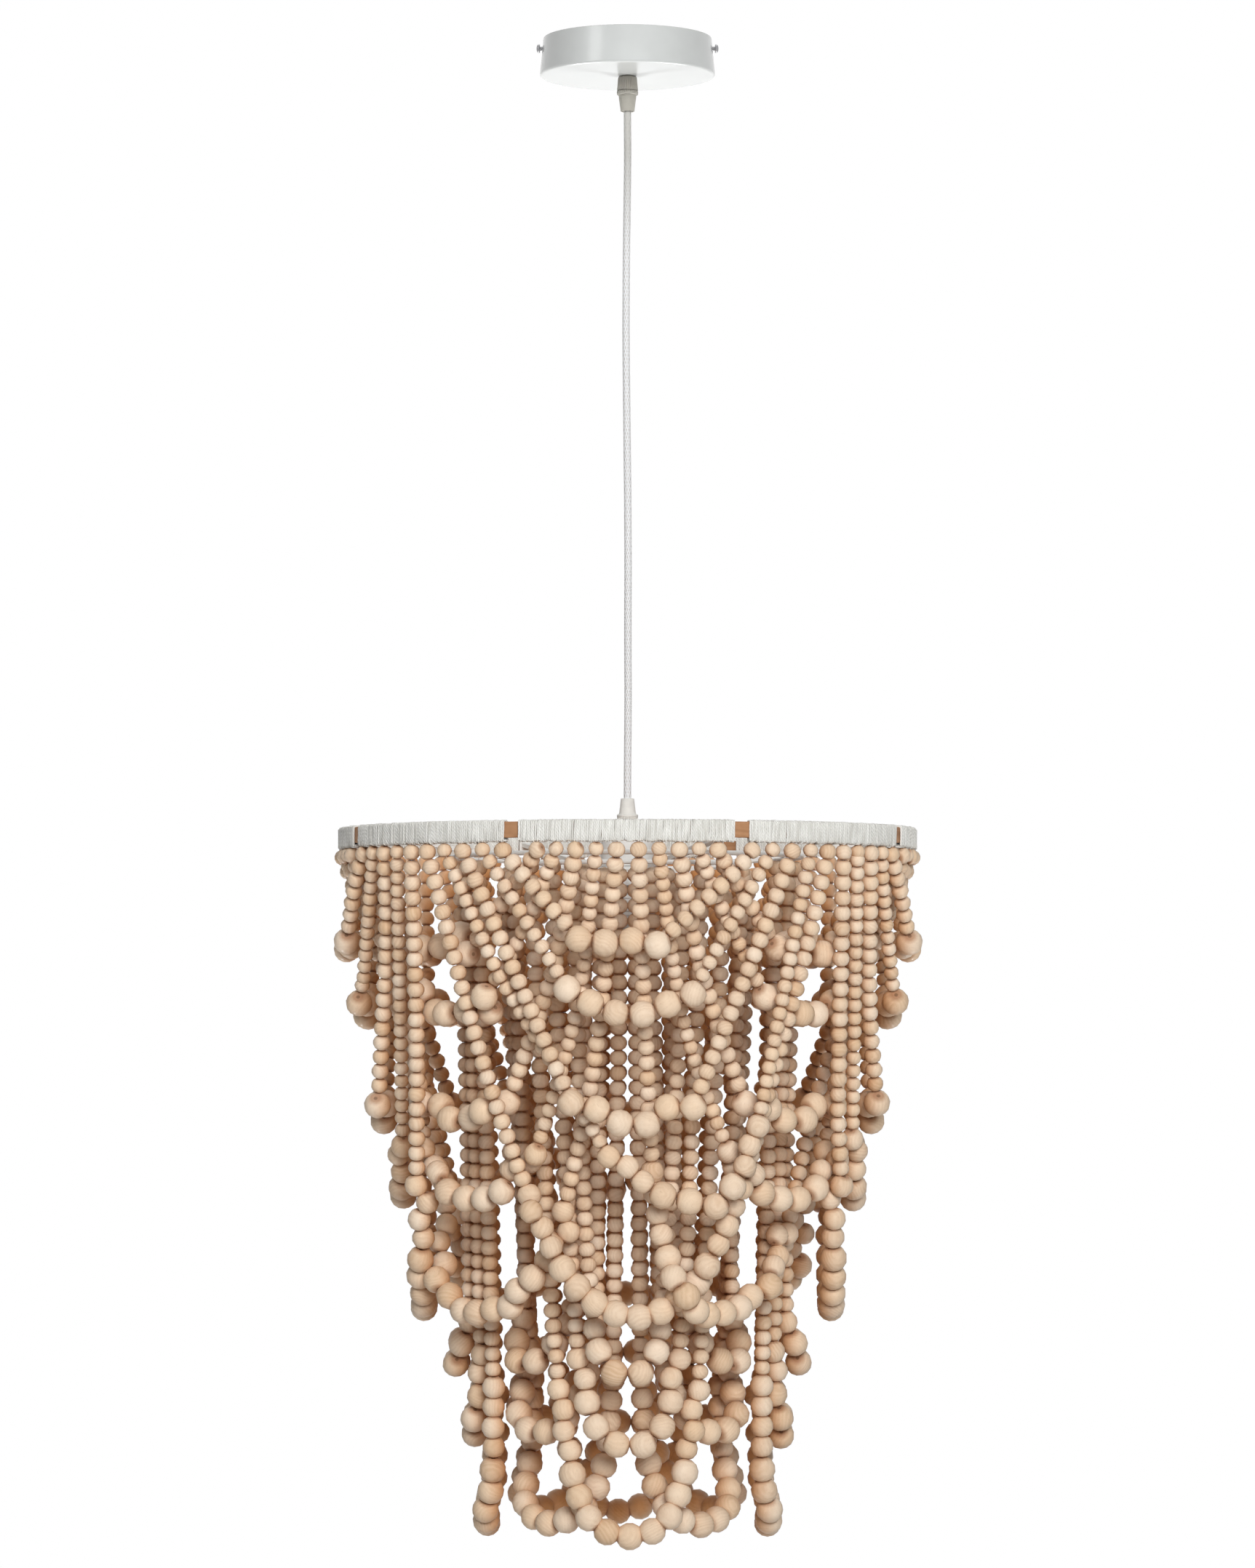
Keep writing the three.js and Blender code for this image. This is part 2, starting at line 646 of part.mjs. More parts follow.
// Hoop and the lengths of yarn wound on it, with bare gaps between the panels
addPiece('hoop', turned([
  [hoopInnerRadius, hoopBottom],
  [hoopOuterRadius, hoopBottom],
  [hoopOuterRadius, hoopTop],
  [hoopInnerRadius, hoopTop],
], hoopSides), hoopMaterial);

// The flats of the yarn's and the hoop's facets stay clear of each other's corners
const yarnHalfAngle = (panelAngle - yarnGap / hoopMiddleRadius) / 2;
const yarnBoreInner = hoopInnerRadius * Math.cos(Math.PI / hoopSides) - seatGap;
const yarnBoreOuter = (hoopOuterRadius + seatGap) / Math.cos(yarnHalfAngle / yarnSteps);
const yarnInnerRadius = yarnBoreInner - yarnThickness;
const yarnOuterRadius = yarnBoreOuter + yarnThickness;
const yarnBottom = hoopBottom - seatGap - yarnThickness;
const yarnTop = hoopTop + seatGap + yarnThickness;

function yarnGeometry(panel) {
  const middle = panel * panelAngle - Math.PI / 2;
  const swept = (outline, half) => lofted(Array.from({ length: yarnSteps + 1 }, (_, step) => {
    const angle = middle + half * (1 - (2 * step) / yarnSteps);
    return outline.map(([radius, z]) => new THREE.Vector3(
      radius * Math.cos(angle), radius * Math.sin(angle), z,
    ));
  }));
  const outside = [
    [yarnInnerRadius, yarnBottom], [yarnOuterRadius, yarnBottom],
    [yarnOuterRadius, yarnTop], [yarnInnerRadius, yarnTop],
  ];
  const inside = [
    [yarnBoreInner, hoopBottom - seatGap], [yarnBoreOuter, hoopBottom - seatGap],
    [yarnBoreOuter, hoopTop + seatGap], [yarnBoreInner, hoopTop + seatGap],
  ];
  const overrunAngle = cutOverrun / hoopMiddleRadius;
  return cut(swept(outside, yarnHalfAngle), swept(inside, yarnHalfAngle + overrunAngle));
}
panelNames.forEach((panelName, panel) => addPiece(`yarn_${panelName}`, yarnGeometry(panel), yarnMaterial));

// Inner rings, which lie under the arms of the frame
const innerRingRadius = hoopInnerRadius - innerRingInset;
const coreRingRadius = innerRingRadius - coreRingInset;
const ringMiddleAt = (radius) => armMiddleAt(radius) - frameArmThickness / 2 - seatGap
  - innerRingWireRadius * (1 + Math.abs(armSlope));

function wireRingGeometry(radius) {
  const ring = new THREE.TorusGeometry(radius, innerRingWireRadius, innerRingWireSides, fineSides);
  return ring.translate(0, 0, ringMiddleAt(radius));
}
addPiece('inner_ring', wireRingGeometry(innerRingRadius), frameMaterial);
addPiece('core_ring', wireRingGeometry(coreRingRadius), frameMaterial);

function pitchBetween(size, nextSize) {
  const reach = (bead) => bead * (bead < largestBead ? beadPitchShare : largestPitchShare);
  return (reach(size) + reach(nextSize)) / 2;
}

// Bead strings. A swag hangs as a loaded thread does: each link's slope is the load between it and the
// lowest point over the pull along the swag, and the pull is the one that brings its ends to their places.
function halfSwag(level, stiffShare, halfChord, drop) {
  const sizeOf = (index) => {
    if (index < level.largest) return largestBead;
    return index < level.largest + level.large ? largeBead : level.leg;
  };
  const hang = (pull) => {
    let across = pitchBetween(sizeOf(0), sizeOf(0)) / 2;
    let height = 0;
    let load = 0;
    const beads = [{ across, height, size: sizeOf(0) }];
    while (height < drop) {
      const index = beads.length;
      load += beads[index - 1].size ** 3 * (1 + stiffShare * (index - 1));
      const slope = Math.atan2(load, pull);
      const step = pitchBetween(beads[index - 1].size, sizeOf(index));
      across += step * Math.cos(slope);
      height += step * Math.sin(slope);
      beads.push({ across, height, size: sizeOf(index) });
    }
    return beads;
  };
  let [least, most] = [0, largestBead ** 3 * mostPullInBeads];
  for (let round = 0; round < pullRounds; round += 1) {
    const pull = (least + most) / 2;
    if (hang(pull).at(-1).across < halfChord) least = pull;
    else most = pull;
  }
  const beads = hang((least + most) / 2);
  const end = beads.at(-1);
  return beads.map((bead) => ({
    across: (bead.across * halfChord) / end.across,
    height: (bead.height * drop) / end.height,
    size: bead.size,
  }));
}

// Height of the top bead's centre below a ring, with the thread that links two swags above it
const topBeadDrop = (size) => seatGap + threadRadius * 2 + size / 2;

function swagBeads(panel, levelIndex) {
  const level = swagLevels[levelIndex];
  const diagonal = panel % 2 === 1;
  const onHoop = levelIndex < hoopLevels;
  const innerRadius = diagonal ? coreRingRadius : innerRingRadius;
  const endRadius = onHoop ? hoopMiddleRadius : innerRadius;
  const carrierBottom = onHoop ? yarnBottom : ringMiddleAt(innerRadius) - innerRingWireRadius;
  const kind = diagonal ? 1 : 0;
  const halfAngle = level.halfSpanShares[kind] * panelAngle;
  const halfChord = endRadius * Math.sin(halfAngle);
  const plane = endRadius * Math.cos(halfAngle);
  const topHeight = carrierBottom - topBeadDrop(level.leg);
  const drop = topHeight - (hoopTop - level.drop);
  const slide = skewShares[panelNames[panel]][levelIndex] * halfChord;
  const bow = level.bows[kind];
  const azimuth = panel * panelAngle - Math.PI / 2;
  const beads = [];
  const add = (bead, side, reach) => {
    const x = slide + bead.across * side;
    const below = drop - bead.height;
    const outward = THREE.MathUtils.smoothstep(bead.across / reach, legStartShare, legEndShare);
    let lean = -straightLeanShare * below;
    if (diagonal && onHoop) {
      lean = -(diagonalLeanAtOnce + diagonalLeanShare * below) * (1 - Math.exp(-below / diagonalLeanStart));
    }
    const radius = Math.hypot(x, plane) + outward * lean + (1 - outward) * bow;
    const angle = azimuth + Math.atan2(x, plane);
    const place = new THREE.Vector3(
      radius * Math.cos(angle), radius * Math.sin(angle), topHeight - below,
    );
    beads.push({ place, home: place.clone(), size: bead.size });
  };
  [-1, 1].forEach((side) => {
    const reach = halfChord - side * slide;
    const half = halfSwag(level, level.stiffShares[kind], reach, drop);
    (side < 0 ? half.reverse() : half).forEach((bead) => add(bead, side, reach));
  });
  return beads;
}

const swags = panelNames.map((_, panel) => swagLevels.map((_level, index) => swagBeads(panel, index)));

// Settling: the beads of different swags push each other apart while each thread keeps its length
function settleBeads(chains) {
  const all = [];
  chains.forEach((beads, chain) => beads.forEach((bead, index) => {
    const held = index === 0 || index === beads.length - 1;
    all.push({ bead, chain, index, share: held ? 0 : 1 });
  }));
  const cell = largestBead + beadClearance;
  const away = new THREE.Vector3();
  const push = (one, other, apart) => {
    away.subVectors(one.bead.place, other.bead.place);
    const distance = away.length();
    if (one.share + other.share === 0 || distance === 0) return;
    away.multiplyScalar((apart - distance) / distance / (one.share + other.share));
    one.bead.place.addScaledVector(away, one.share);
    other.bead.place.addScaledVector(away, -other.share);
  };
  const keepApart = () => {
    const cells = new Map();
    const keyOf = (x, y, z) => `${x},${y},${z}`;
    all.forEach((item) => {
      const [x, y, z] = item.bead.place.toArray().map((value) => Math.floor(value / cell));
      for (let dx = -1; dx <= 1; dx += 1) {
        for (let dy = -1; dy <= 1; dy += 1) {
          for (let dz = -1; dz <= 1; dz += 1) {
            (cells.get(keyOf(x + dx, y + dy, z + dz)) ?? []).forEach((other) => {
              const near = other.chain === item.chain && Math.abs(other.index - item.index) < 2;
              const apart = (item.bead.size + other.bead.size) / 2 + beadClearance;
              if (!near && item.bead.place.distanceToSquared(other.bead.place) < apart ** 2) {
                push(item, other, apart);
              }
            });
          }
        }
      }
      const key = keyOf(x, y, z);
      if (!cells.has(key)) cells.set(key, []);
      cells.get(key).push(item);
    });
  };
  for (let round = 0; round < settleRounds; round += 1) {
    const pullHome = homingShare * Math.max(0, 1 - round / homingRounds);
    all.forEach(({ bead, share }) => bead.place.lerp(bead.home, pullHome * share));
    for (let item = 1; item + 1 < all.length; item += 1) {
      const [before, here, after] = [all[item - 1], all[item], all[item + 1]];
      if (before.chain === after.chain && here.bead.size < largeBead) {
        const between = before.bead.place.clone().lerp(after.bead.place, 0.5);
        here.bead.place.lerp(between, straighteningShare);
      }
    }
    for (let item = 1; item < all.length; item += 1) {
      if (all[item].chain === all[item - 1].chain) {
        push(all[item], all[item - 1], pitchBetween(all[item].bead.size, all[item - 1].bead.size));
      }
    }
    keepApart();
  }
}
settleBeads(swags.flat());

// A thread with its beads as one solid: a ring at each of the largest beads and one at the neck after it,
// and among smaller beads a ring wherever the size changes or the run would leave the beads' own line
function staysOnLine(beads, from, to) {
  const line = new THREE.Line3(beads[from].place, beads[to].place);
  const nearest = new THREE.Vector3();
  for (let index = from + 1; index < to; index += 1) {
    line.closestPointToPoint(beads[index].place, true, nearest);
    if (nearest.distanceTo(beads[index].place) > runDeviation) return false;
    if (beads[index].size !== beads[from].size) return false;
  }
  return true;
}

function swagStations(beads) {
  const stations = [];
  let latest = 0;
  beads.forEach(({ place, size }, index) => {
    const next = beads[index + 1];
    const isEnd = index === 0 || !next;
    const largest = size >= largestBead;
    const sizeChanges = !isEnd && (next.size !== size || beads[index - 1].size !== size);
    if (!largest && !isEnd && !sizeChanges && staysOnLine(beads, latest, index + 1)) return;
    latest = index;
    stations.push({ place, radius: (size / 2) * (largest ? 1 : legShare) });
    if (largest && next?.size >= largestBead) {
      const neck = place.clone().lerp(next.place, 0.5);
      stations.push({ place: neck, radius: (size / 2) * beadNeckShare });
    }
  });
  return stations;
}

function threadStations(panel, levels) {
  const stations = [];
  levels.forEach((levelIndex, order) => {
    const beads = swags[panel][levelIndex];
    const run = swagStations(order % 2 === 0 ? beads : [...beads].reverse());
    const rise = topBeadDrop(beads[0].size);
    const linkHeight = rise - seatGap - threadRadius;
    const above = ({ place }, height, radius) => stations.push({
      place: new THREE.Vector3(place.x, place.y, place.z + height), radius,
    });
    above(run[0], order === 0 ? rise - seatGap : linkHeight, threadRadius);
    stations.push(...run);
    above(run.at(-1), order === levels.length - 1 ? rise - seatGap : linkHeight, threadRadius);
  });
  return stations;
}

function strandGeometry(stations) {
  const places = stations.map(({ place }) => place);
  const tangents = places.map((_, index) => {
    const before = places[Math.max(index - 1, 0)];
    const after = places[Math.min(index + 1, places.length - 1)];
    const inward = places[index].clone().sub(before).normalize();
    const outward = after.clone().sub(places[index]).normalize();
    return inward.add(outward).normalize();
  });
  let normal = new THREE.Vector3(tangents[0].y, -tangents[0].x, 0);
  if (normal.lengthSq() < 1e-6) normal = new THREE.Vector3(1, 0, 0);
  const rings = stations.map(({ place, radius }, index) => {
    const tangent = tangents[index];
    normal = normal.clone().addScaledVector(tangent, -normal.dot(tangent)).normalize();
    const side = new THREE.Vector3().crossVectors(tangent, normal);
    return Array.from({ length: strandSides }, (_, corner) => {
      const angle = (corner * Math.PI * 2) / strandSides;
      return place.clone()
        .addScaledVector(normal, Math.cos(angle) * radius)
        .addScaledVector(side, Math.sin(angle) * radius);
    });
  });
  return lofted(rings);
}

panelNames.forEach((panelName, panel) => {
  threads.forEach(({ name, levels }) => {
    addPiece(`beads_${panelName}_${name}`, strandGeometry(threadStations(panel, levels)), beadMaterial);
  });
});

export default chandelier;
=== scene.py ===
"""A beaded chandelier: a ceiling rose, a textile cord and a yarn-wound hoop hung with wooden beads."""

import itertools
import logging
import math
import random
from dataclasses import dataclass
from enum import Enum

import bpy
import numpy as np
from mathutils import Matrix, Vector


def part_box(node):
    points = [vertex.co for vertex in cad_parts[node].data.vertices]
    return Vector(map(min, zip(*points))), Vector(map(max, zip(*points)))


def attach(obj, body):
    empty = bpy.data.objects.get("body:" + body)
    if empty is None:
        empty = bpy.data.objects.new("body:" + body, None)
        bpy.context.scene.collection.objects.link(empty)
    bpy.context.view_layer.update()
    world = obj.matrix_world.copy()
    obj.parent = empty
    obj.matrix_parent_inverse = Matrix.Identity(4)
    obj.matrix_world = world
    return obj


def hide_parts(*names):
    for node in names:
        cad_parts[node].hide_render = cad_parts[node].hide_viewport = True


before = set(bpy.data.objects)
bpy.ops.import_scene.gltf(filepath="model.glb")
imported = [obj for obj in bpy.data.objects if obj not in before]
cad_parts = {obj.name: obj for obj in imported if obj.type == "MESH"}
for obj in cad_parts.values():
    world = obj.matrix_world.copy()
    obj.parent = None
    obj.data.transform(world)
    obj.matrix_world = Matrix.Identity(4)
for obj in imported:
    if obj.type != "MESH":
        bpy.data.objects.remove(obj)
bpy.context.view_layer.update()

LOG = logging.getLogger("beaded_chandelier")
MILLIMETRE = 0.001
FULL_TURN = 2 * math.pi
PANELS = ("front", "front_right", "right", "back_right", "back", "back_left", "left", "front_left")


class Carrier(Enum):
    """The CAD bodies that pieces ride on."""

    ROSE = "rose"
    CORD = "cord"
    SHADE = "shade"


class FinishSlot(Enum):
    """The record's material slots."""

    ROSE_PAINT = "rose_paint"
    STEEL = "steel"
    GREY_PLASTIC = "grey_plastic"
    WHITE_PLASTIC = "white_plastic"
    TEXTILE_CORD = "textile_cord"
    WHITE_FRAME = "white_frame"
    BROWN_WOOD = "brown_wood"
    WHITE_YARN = "white_yarn"
    PALE_BEADS = "pale_wood_beads"


Colour = tuple[float, float, float]
Place = tuple[float, float, float]
Outline = tuple[tuple[float, float], ...]


def linear(red: int, green: int, blue: int) -> Colour:
    """A colour of three 8-bit steps as linear light."""
    shares = [value / 255 for value in (red, green, blue)]
    return tuple(s / 12.92 if s <= 0.04045 else ((s + 0.055) / 1.055) ** 2.4 for s in shares)


def shaded(colour: Colour, factor: float) -> Colour:
    """A colour made darker or paler by a factor."""
    return tuple(min(1, value * factor) for value in colour)


def opaque(colour: object) -> object:
    """Three values as a colour with full alpha, or the socket that a colour already is."""
    return colour if isinstance(colour, bpy.types.NodeSocket) else (*colour, 1)


# Node trees


class NodeDesk:
    """Adds nodes to one tree and links them by name."""

    def __init__(self, tree: bpy.types.NodeTree, takes: object = None, gives: object = None) -> None:
        """Starts on a tree, with the sockets that it takes from and the ones that it gives to."""
        self.tree, self.takes, self.gives = tree, takes, gives

    def add(self, kind: str, **settings: object) -> bpy.types.Node:
        """A new node with its properties set.

        Args:
            kind: the node's type name without the leading ShaderNode.
            **settings: properties of the node.

        Returns:
            The node.
        """
        node = self.tree.nodes.new("ShaderNode" + kind)
        for name, value in settings.items():
            setattr(node, name, value)
        return node

    def feed(self, target: object, source: object) -> None:
        """Feeds an input from an output, or sets it to a value.

        Args:
            target: the input socket.
            source: an output socket, or a number, colour or vector.
        """
        if isinstance(source, bpy.types.NodeSocket):
            self.tree.links.new(source, target)
        else:
            target.default_value = source

    def feed_all(self, targets: object, values: dict[str, object]) -> None:
        """Feeds several inputs by name, where an underscore stands for a space."""
        for name, value in values.items():
            self.feed(targets[name.replace("_", " ")], value)

    def give(self, **results: object) -> None:
        """Feeds the sockets that the tree gives to."""
        self.feed_all(self.gives, results)

    def result(self, kind: str, output: str, **values: object) -> object:
        """One output of a new node.

        Args:
            kind: the node's type name without the leading ShaderNode.
            output: the output's name.
            **values: what the node's inputs get, with underscores for spaces.

        Returns:
            The output's socket.
        """
        node = self.add(kind)
        self.feed_all(node.inputs, values)
        return node.outputs[output]

    def place(self) -> object:
        """The place on the object, in metres."""
        return self.add("TexCoord").outputs["Object"]

    def read(self, name: str, output: str = "Fac") -> object:
        """What a mesh attribute holds."""
        return self.add("Attribute", attribute_name=name).outputs[output]

    def noise(self, place: object, scale: object, detail: float = 3, rough: float = 0.5) -> object:
        """Noise at a place, with its scale, its octaves and the strength of the fine ones."""
        return self.result("TexNoise", "Fac", Vector=place, Scale=scale, Detail=detail, Roughness=rough)

    def stretched(self, place: object, scale: Place) -> object:
        """A place with each of its axes scaled."""
        return self.result("Mapping", "Vector", Vector=place, Scale=scale)

    def axis(self, place: object, name: str) -> object:
        """One of the three values of a place."""
        return self.result("SeparateXYZ", name, Vector=place)

    def spread(self, value: object, low: float, high: float, to_low: float = 0, to_high: float = 1) -> object:
        """A value moved from one range to another, held at its ends."""
        ranges = {"From_Min": low, "From_Max": high, "To_Min": to_low, "To_Max": to_high}
        return self.result("MapRange", "Result", Value=value, **ranges)

    def bump(self, height: object, strength: float, depth: float) -> object:
        """A normal bent by a height from 0 to 1, with the depth in metres."""
        return self.result("Bump", "Normal", Strength=strength, Distance=depth, Height=height)

    def calc(self, operation: str, *values: object) -> object:
        """The result of a sum on one to three values.

        Args:
            operation: the name of the sum.
            *values: sockets or numbers.

        Returns:
            The result's socket.
        """
        node = self.add("Math", operation=operation)
        for slot, value in zip(node.inputs, values):
            self.feed(slot, value)
        return node.outputs[0]

    def times(self, first: object, second: object) -> object:
        """The product of two values."""
        return self.calc("MULTIPLY", first, second)

    def wave(self, value: object) -> object:
        """A wave from 0 to 1 that runs once through each whole step of a value."""
        return self.spread(self.calc("SINE", self.times(value, FULL_TURN)), -1, 1)

    def blend(self, share: object, first: object, second: object, way: str = "MIX") -> object:
        """Two colours mixed.

        Args:
            share: how much of the second is laid on.
            first: the colour underneath.
            second: the colour on top.
            way: how they mix.

        Returns:
            The mixed colour's socket.
        """
        node = self.add("Mix", data_type="RGBA", blend_type=way)
        colours = [slot for slot in node.inputs if slot.type == "RGBA"]
        self.feed(node.inputs[0], share)
        self.feed(colours[0], opaque(first))
        self.feed(colours[1], opaque(second))
        return [slot for slot in node.outputs if slot.type == "RGBA"][0]


class SharedEffect:
    """A shader node group that several finishes use."""

    title = "Shared effect"
    takes: tuple[tuple[str, str, object], ...] = ()
    gives: tuple[str, ...] = ()

    def group(self) -> bpy.types.NodeTree:
        """The group, which is built the first time.

        Returns:
            The node group.
        """
        if self.title in bpy.data.node_groups:
            return bpy.data.node_groups[self.title]
        tree = bpy.data.node_groups.new(self.title, "ShaderNodeTree")
        for name, kind, value in self.takes:
            socket = tree.interface.new_socket(name=name, in_out="INPUT", socket_type="NodeSocket" + kind)
            if value is not None:
                socket.default_value = value
        for name in self.gives:
            tree.interface.new_socket(name=name, in_out="OUTPUT", socket_type="NodeSocketFloat")
        source = tree.nodes.new("NodeGroupInput")
        result = tree.nodes.new("NodeGroupOutput")
        self.build(NodeDesk(tree, source.outputs, result.inputs))
        return tree

    def build(self, desk: NodeDesk) -> None:
        """Fills the group through its desk."""
        raise NotImplementedError

    def use(self, desk: NodeDesk, **values: object) -> object:
        """Places the group in a material.

        Args:
            desk: the material's desk.
            **values: what the inputs get, with underscores for spaces.

        Returns:
            The placed group's outputs.
        """
        node = desk.add("Group", node_tree=self.group())
        desk.feed_all(node.inputs, values)
        return node.outputs


class WoodGrain(SharedEffect):
    """Long fine lines of grain with darker late wood and pores."""

    title = "Wood grain"
    takes = (("Place", "Vector", None), ("Rings", "Float", 320.0), ("Waver", "Float", 0.6))
    gives = ("Lines", "Pores")
    line_draw = (1, 1, 0.16)
    pore_draw = (1, 1, 0.1)
    bend_scale, bend_reach = 70, 9
    late_wood_scale, pore_scale, octaves = 130, 2600, 2

    def build(self, desk: NodeDesk) -> None:
        """Fills the group with bent rings, from a place, a count to the metre and a waver, and with pores.

        Args:
            desk: the group's desk.
        """
        drawn = desk.stretched(desk.takes["Place"], self.line_draw)
        bend = desk.noise(drawn, self.bend_scale, self.octaves)
        across = desk.times(desk.axis(drawn, "X"), desk.takes["Rings"])
        sway = desk.times(bend, desk.times(desk.takes["Waver"], self.bend_reach))
        late_wood = desk.spread(desk.noise(drawn, self.late_wood_scale, self.octaves), 0.35, 0.7, 0.2, 1)
        fine = desk.stretched(desk.takes["Place"], self.pore_draw)
        specks = desk.noise(fine, self.pore_scale, self.octaves)
        desk.give(
            Lines=desk.times(desk.wave(desk.calc("ADD", across, sway)), late_wood),
            Pores=desk.spread(specks, 0.6, 0.72),
        )


class Mottle(SharedEffect):
    """Soft uneven patches over fine specks, as on any handled surface."""

    title = "Mottle"
    takes = (("Place", "Vector", None), ("Patches", "Float", 40.0), ("Specks", "Float", 900.0))
    gives = ("Cloud", "Fine")

    def build(self, desk: NodeDesk) -> None:
        """Fills the group with noise at two scales.

        Args:
            desk: the group's desk.
        """
        patches = desk.noise(desk.takes["Place"], desk.takes["Patches"], 3)
        specks = desk.noise(desk.takes["Place"], desk.takes["Specks"], 2)
        desk.give(Cloud=desk.spread(patches, 0.3, 0.7), Fine=desk.spread(specks, 0.3, 0.7))


class FibreTwist(SharedEffect):
    """Slanting fibres of a twisted strand, read from its own map."""

    title = "Fibre twist"
    takes = (("Map", "Vector", None), ("Slant", "Float", 1.0), ("Fibres", "Float", 3.0))
    gives = ("Fibre", "Fuzz")
    fuzz_scale, fuzz_octaves, fuzz_rough = 7, 4, 0.7

    def build(self, desk: NodeDesk) -> None:
        """Fills the group with slanted waves, from the fibres that go round and their slant, and fuzz.

        Args:
            desk: the group's desk.
        """
        round_way = desk.times(desk.axis(desk.takes["Map"], "X"), desk.takes["Fibres"])
        long_way = desk.times(desk.axis(desk.takes["Map"], "Y"), desk.takes["Slant"])
        fuzz = desk.noise(desk.takes["Map"], self.fuzz_scale, self.fuzz_octaves, self.fuzz_rough)
        desk.give(Fibre=desk.wave(desk.calc("ADD", round_way, long_way)), Fuzz=fuzz)


# Finishes


@dataclass(frozen=True)
class Finish:
    """A material: its colour and roughness, how both wander over the surface, and its fine relief."""

    title: str
    colour: Colour
    roughness: float
    slot: FinishSlot
    patches: float = 60.0
    specks: float = 2600.0
    darker: float = 0.9
    smoother: float = 0.0
    rougher: float = 0.1
    relief: float = 0.1
    relief_depth: float = 0.00005

    def material(self) -> bpy.types.Material:
        """The material, which is made the first time.

        Returns:
            The material.
        """
        if self.title in bpy.data.materials:
            return bpy.data.materials[self.title]
        made = bpy.data.materials.new(self.title)
        made.use_nodes = True
        made.node_tree.nodes.clear()
        desk = NodeDesk(made.node_tree)
        shader = desk.add("BsdfPrincipled")
        desk.gives = shader.inputs
        desk.give(Base_Color=opaque(self.colour), Roughness=self.roughness)
        desk.feed(desk.add("OutputMaterial").inputs["Surface"], shader.outputs[0])
        self.dress(desk)
        return made

    def dress(self, desk: NodeDesk) -> None:
        """Adds the finish's own detail through the material's desk."""
        raise NotImplementedError

    def mottle(self, desk: NodeDesk, place: object) -> object:
        """The outputs of the finish's mottle at a place."""
        return Mottle().use(desk, Place=place, Patches=self.patches, Specks=self.specks)

    def rough(self, desk: NodeDesk, mask: object) -> object:
        """The roughness, moved round its plain value by a mask from 0 to 1."""
        return desk.spread(mask, 0, 1, self.roughness - self.smoother, self.roughness + self.rougher)

    def raised(self, desk: NodeDesk, height: object) -> object:
        """The normal that a height from 0 to 1 gives at the finish's own relief."""
        return desk.bump(height, self.relief, self.relief_depth)


@dataclass(frozen=True)
class Painted(Finish):
    """Satin paint on pressed steel, a little uneven as sprayed paint is."""

    patches: float = 45.0
    specks: float = 1300.0
    darker: float = 0.96
    paler: float = 1.03
    smoother: float = 0.04
    rougher: float = 0.05
    relief: float = 0.05
    relief_depth: float = 0.00006
    coat: float = 0.2
    coat_roughness: float = 0.2

    def dress(self, desk: NodeDesk) -> None:
        """Adds cloudy gloss and orange peel.

        Args:
            desk: the material's desk.
        """
        mottle = self.mottle(desk, desk.place())
        darker, paler = shaded(self.colour, self.darker), shaded(self.colour, self.paler)
        desk.give(
            Base_Color=desk.blend(mottle["Cloud"], darker, paler),
            Roughness=self.rough(desk, mottle["Cloud"]),
            Normal=self.raised(desk, mottle["Fine"]),
            Coat_Weight=self.coat,
            Coat_Roughness=self.coat_roughness,
        )


@dataclass(frozen=True)
class Moulded(Finish):
    """Matt moulded plastic with a fine spark-eroded grain."""

    patches: float = 150.0
    specks: float = 5200.0
    smoother: float = 0.06
    rougher: float = 0.08
    relief: float = 0.12

    def dress(self, desk: NodeDesk) -> None:
        """Adds the mould's grain and slight stains.

        Args:
            desk: the material's desk.
        """
        mottle = self.mottle(desk, desk.place())
        desk.give(
            Base_Color=desk.blend(mottle["Cloud"], shaded(self.colour, self.darker), self.colour),
            Roughness=self.rough(desk, mottle["Fine"]),
            Normal=self.raised(desk, mottle["Fine"]),
        )


@dataclass(frozen=True)
class Plated(Finish):
    """Zinc or nickel plated steel with fine drawn scratches."""

    patches: float = 90.0
    specks: float = 2200.0
    darker: float = 0.8
    smoother: float = 0.06
    rougher: float = 0.12
    relief_depth: float = 0.00004
    scratch_draw: Place = (1, 30, 30)
    scratch_scale: float = 260

    def dress(self, desk: NodeDesk) -> None:
        """Adds metal gloss, drawn lines and dull patches.

        Args:
            desk: the material's desk.
        """
        place = desk.place()
        drawn = desk.noise(desk.stretched(place, self.scratch_draw), self.scratch_scale, 2)
        mottle = self.mottle(desk, place)
        desk.give(
            Base_Color=desk.blend(mottle["Cloud"], shaded(self.colour, self.darker), self.colour),
            Metallic=1.0,
            Roughness=self.rough(desk, mottle["Cloud"]),
            Normal=self.raised(desk, drawn),
        )


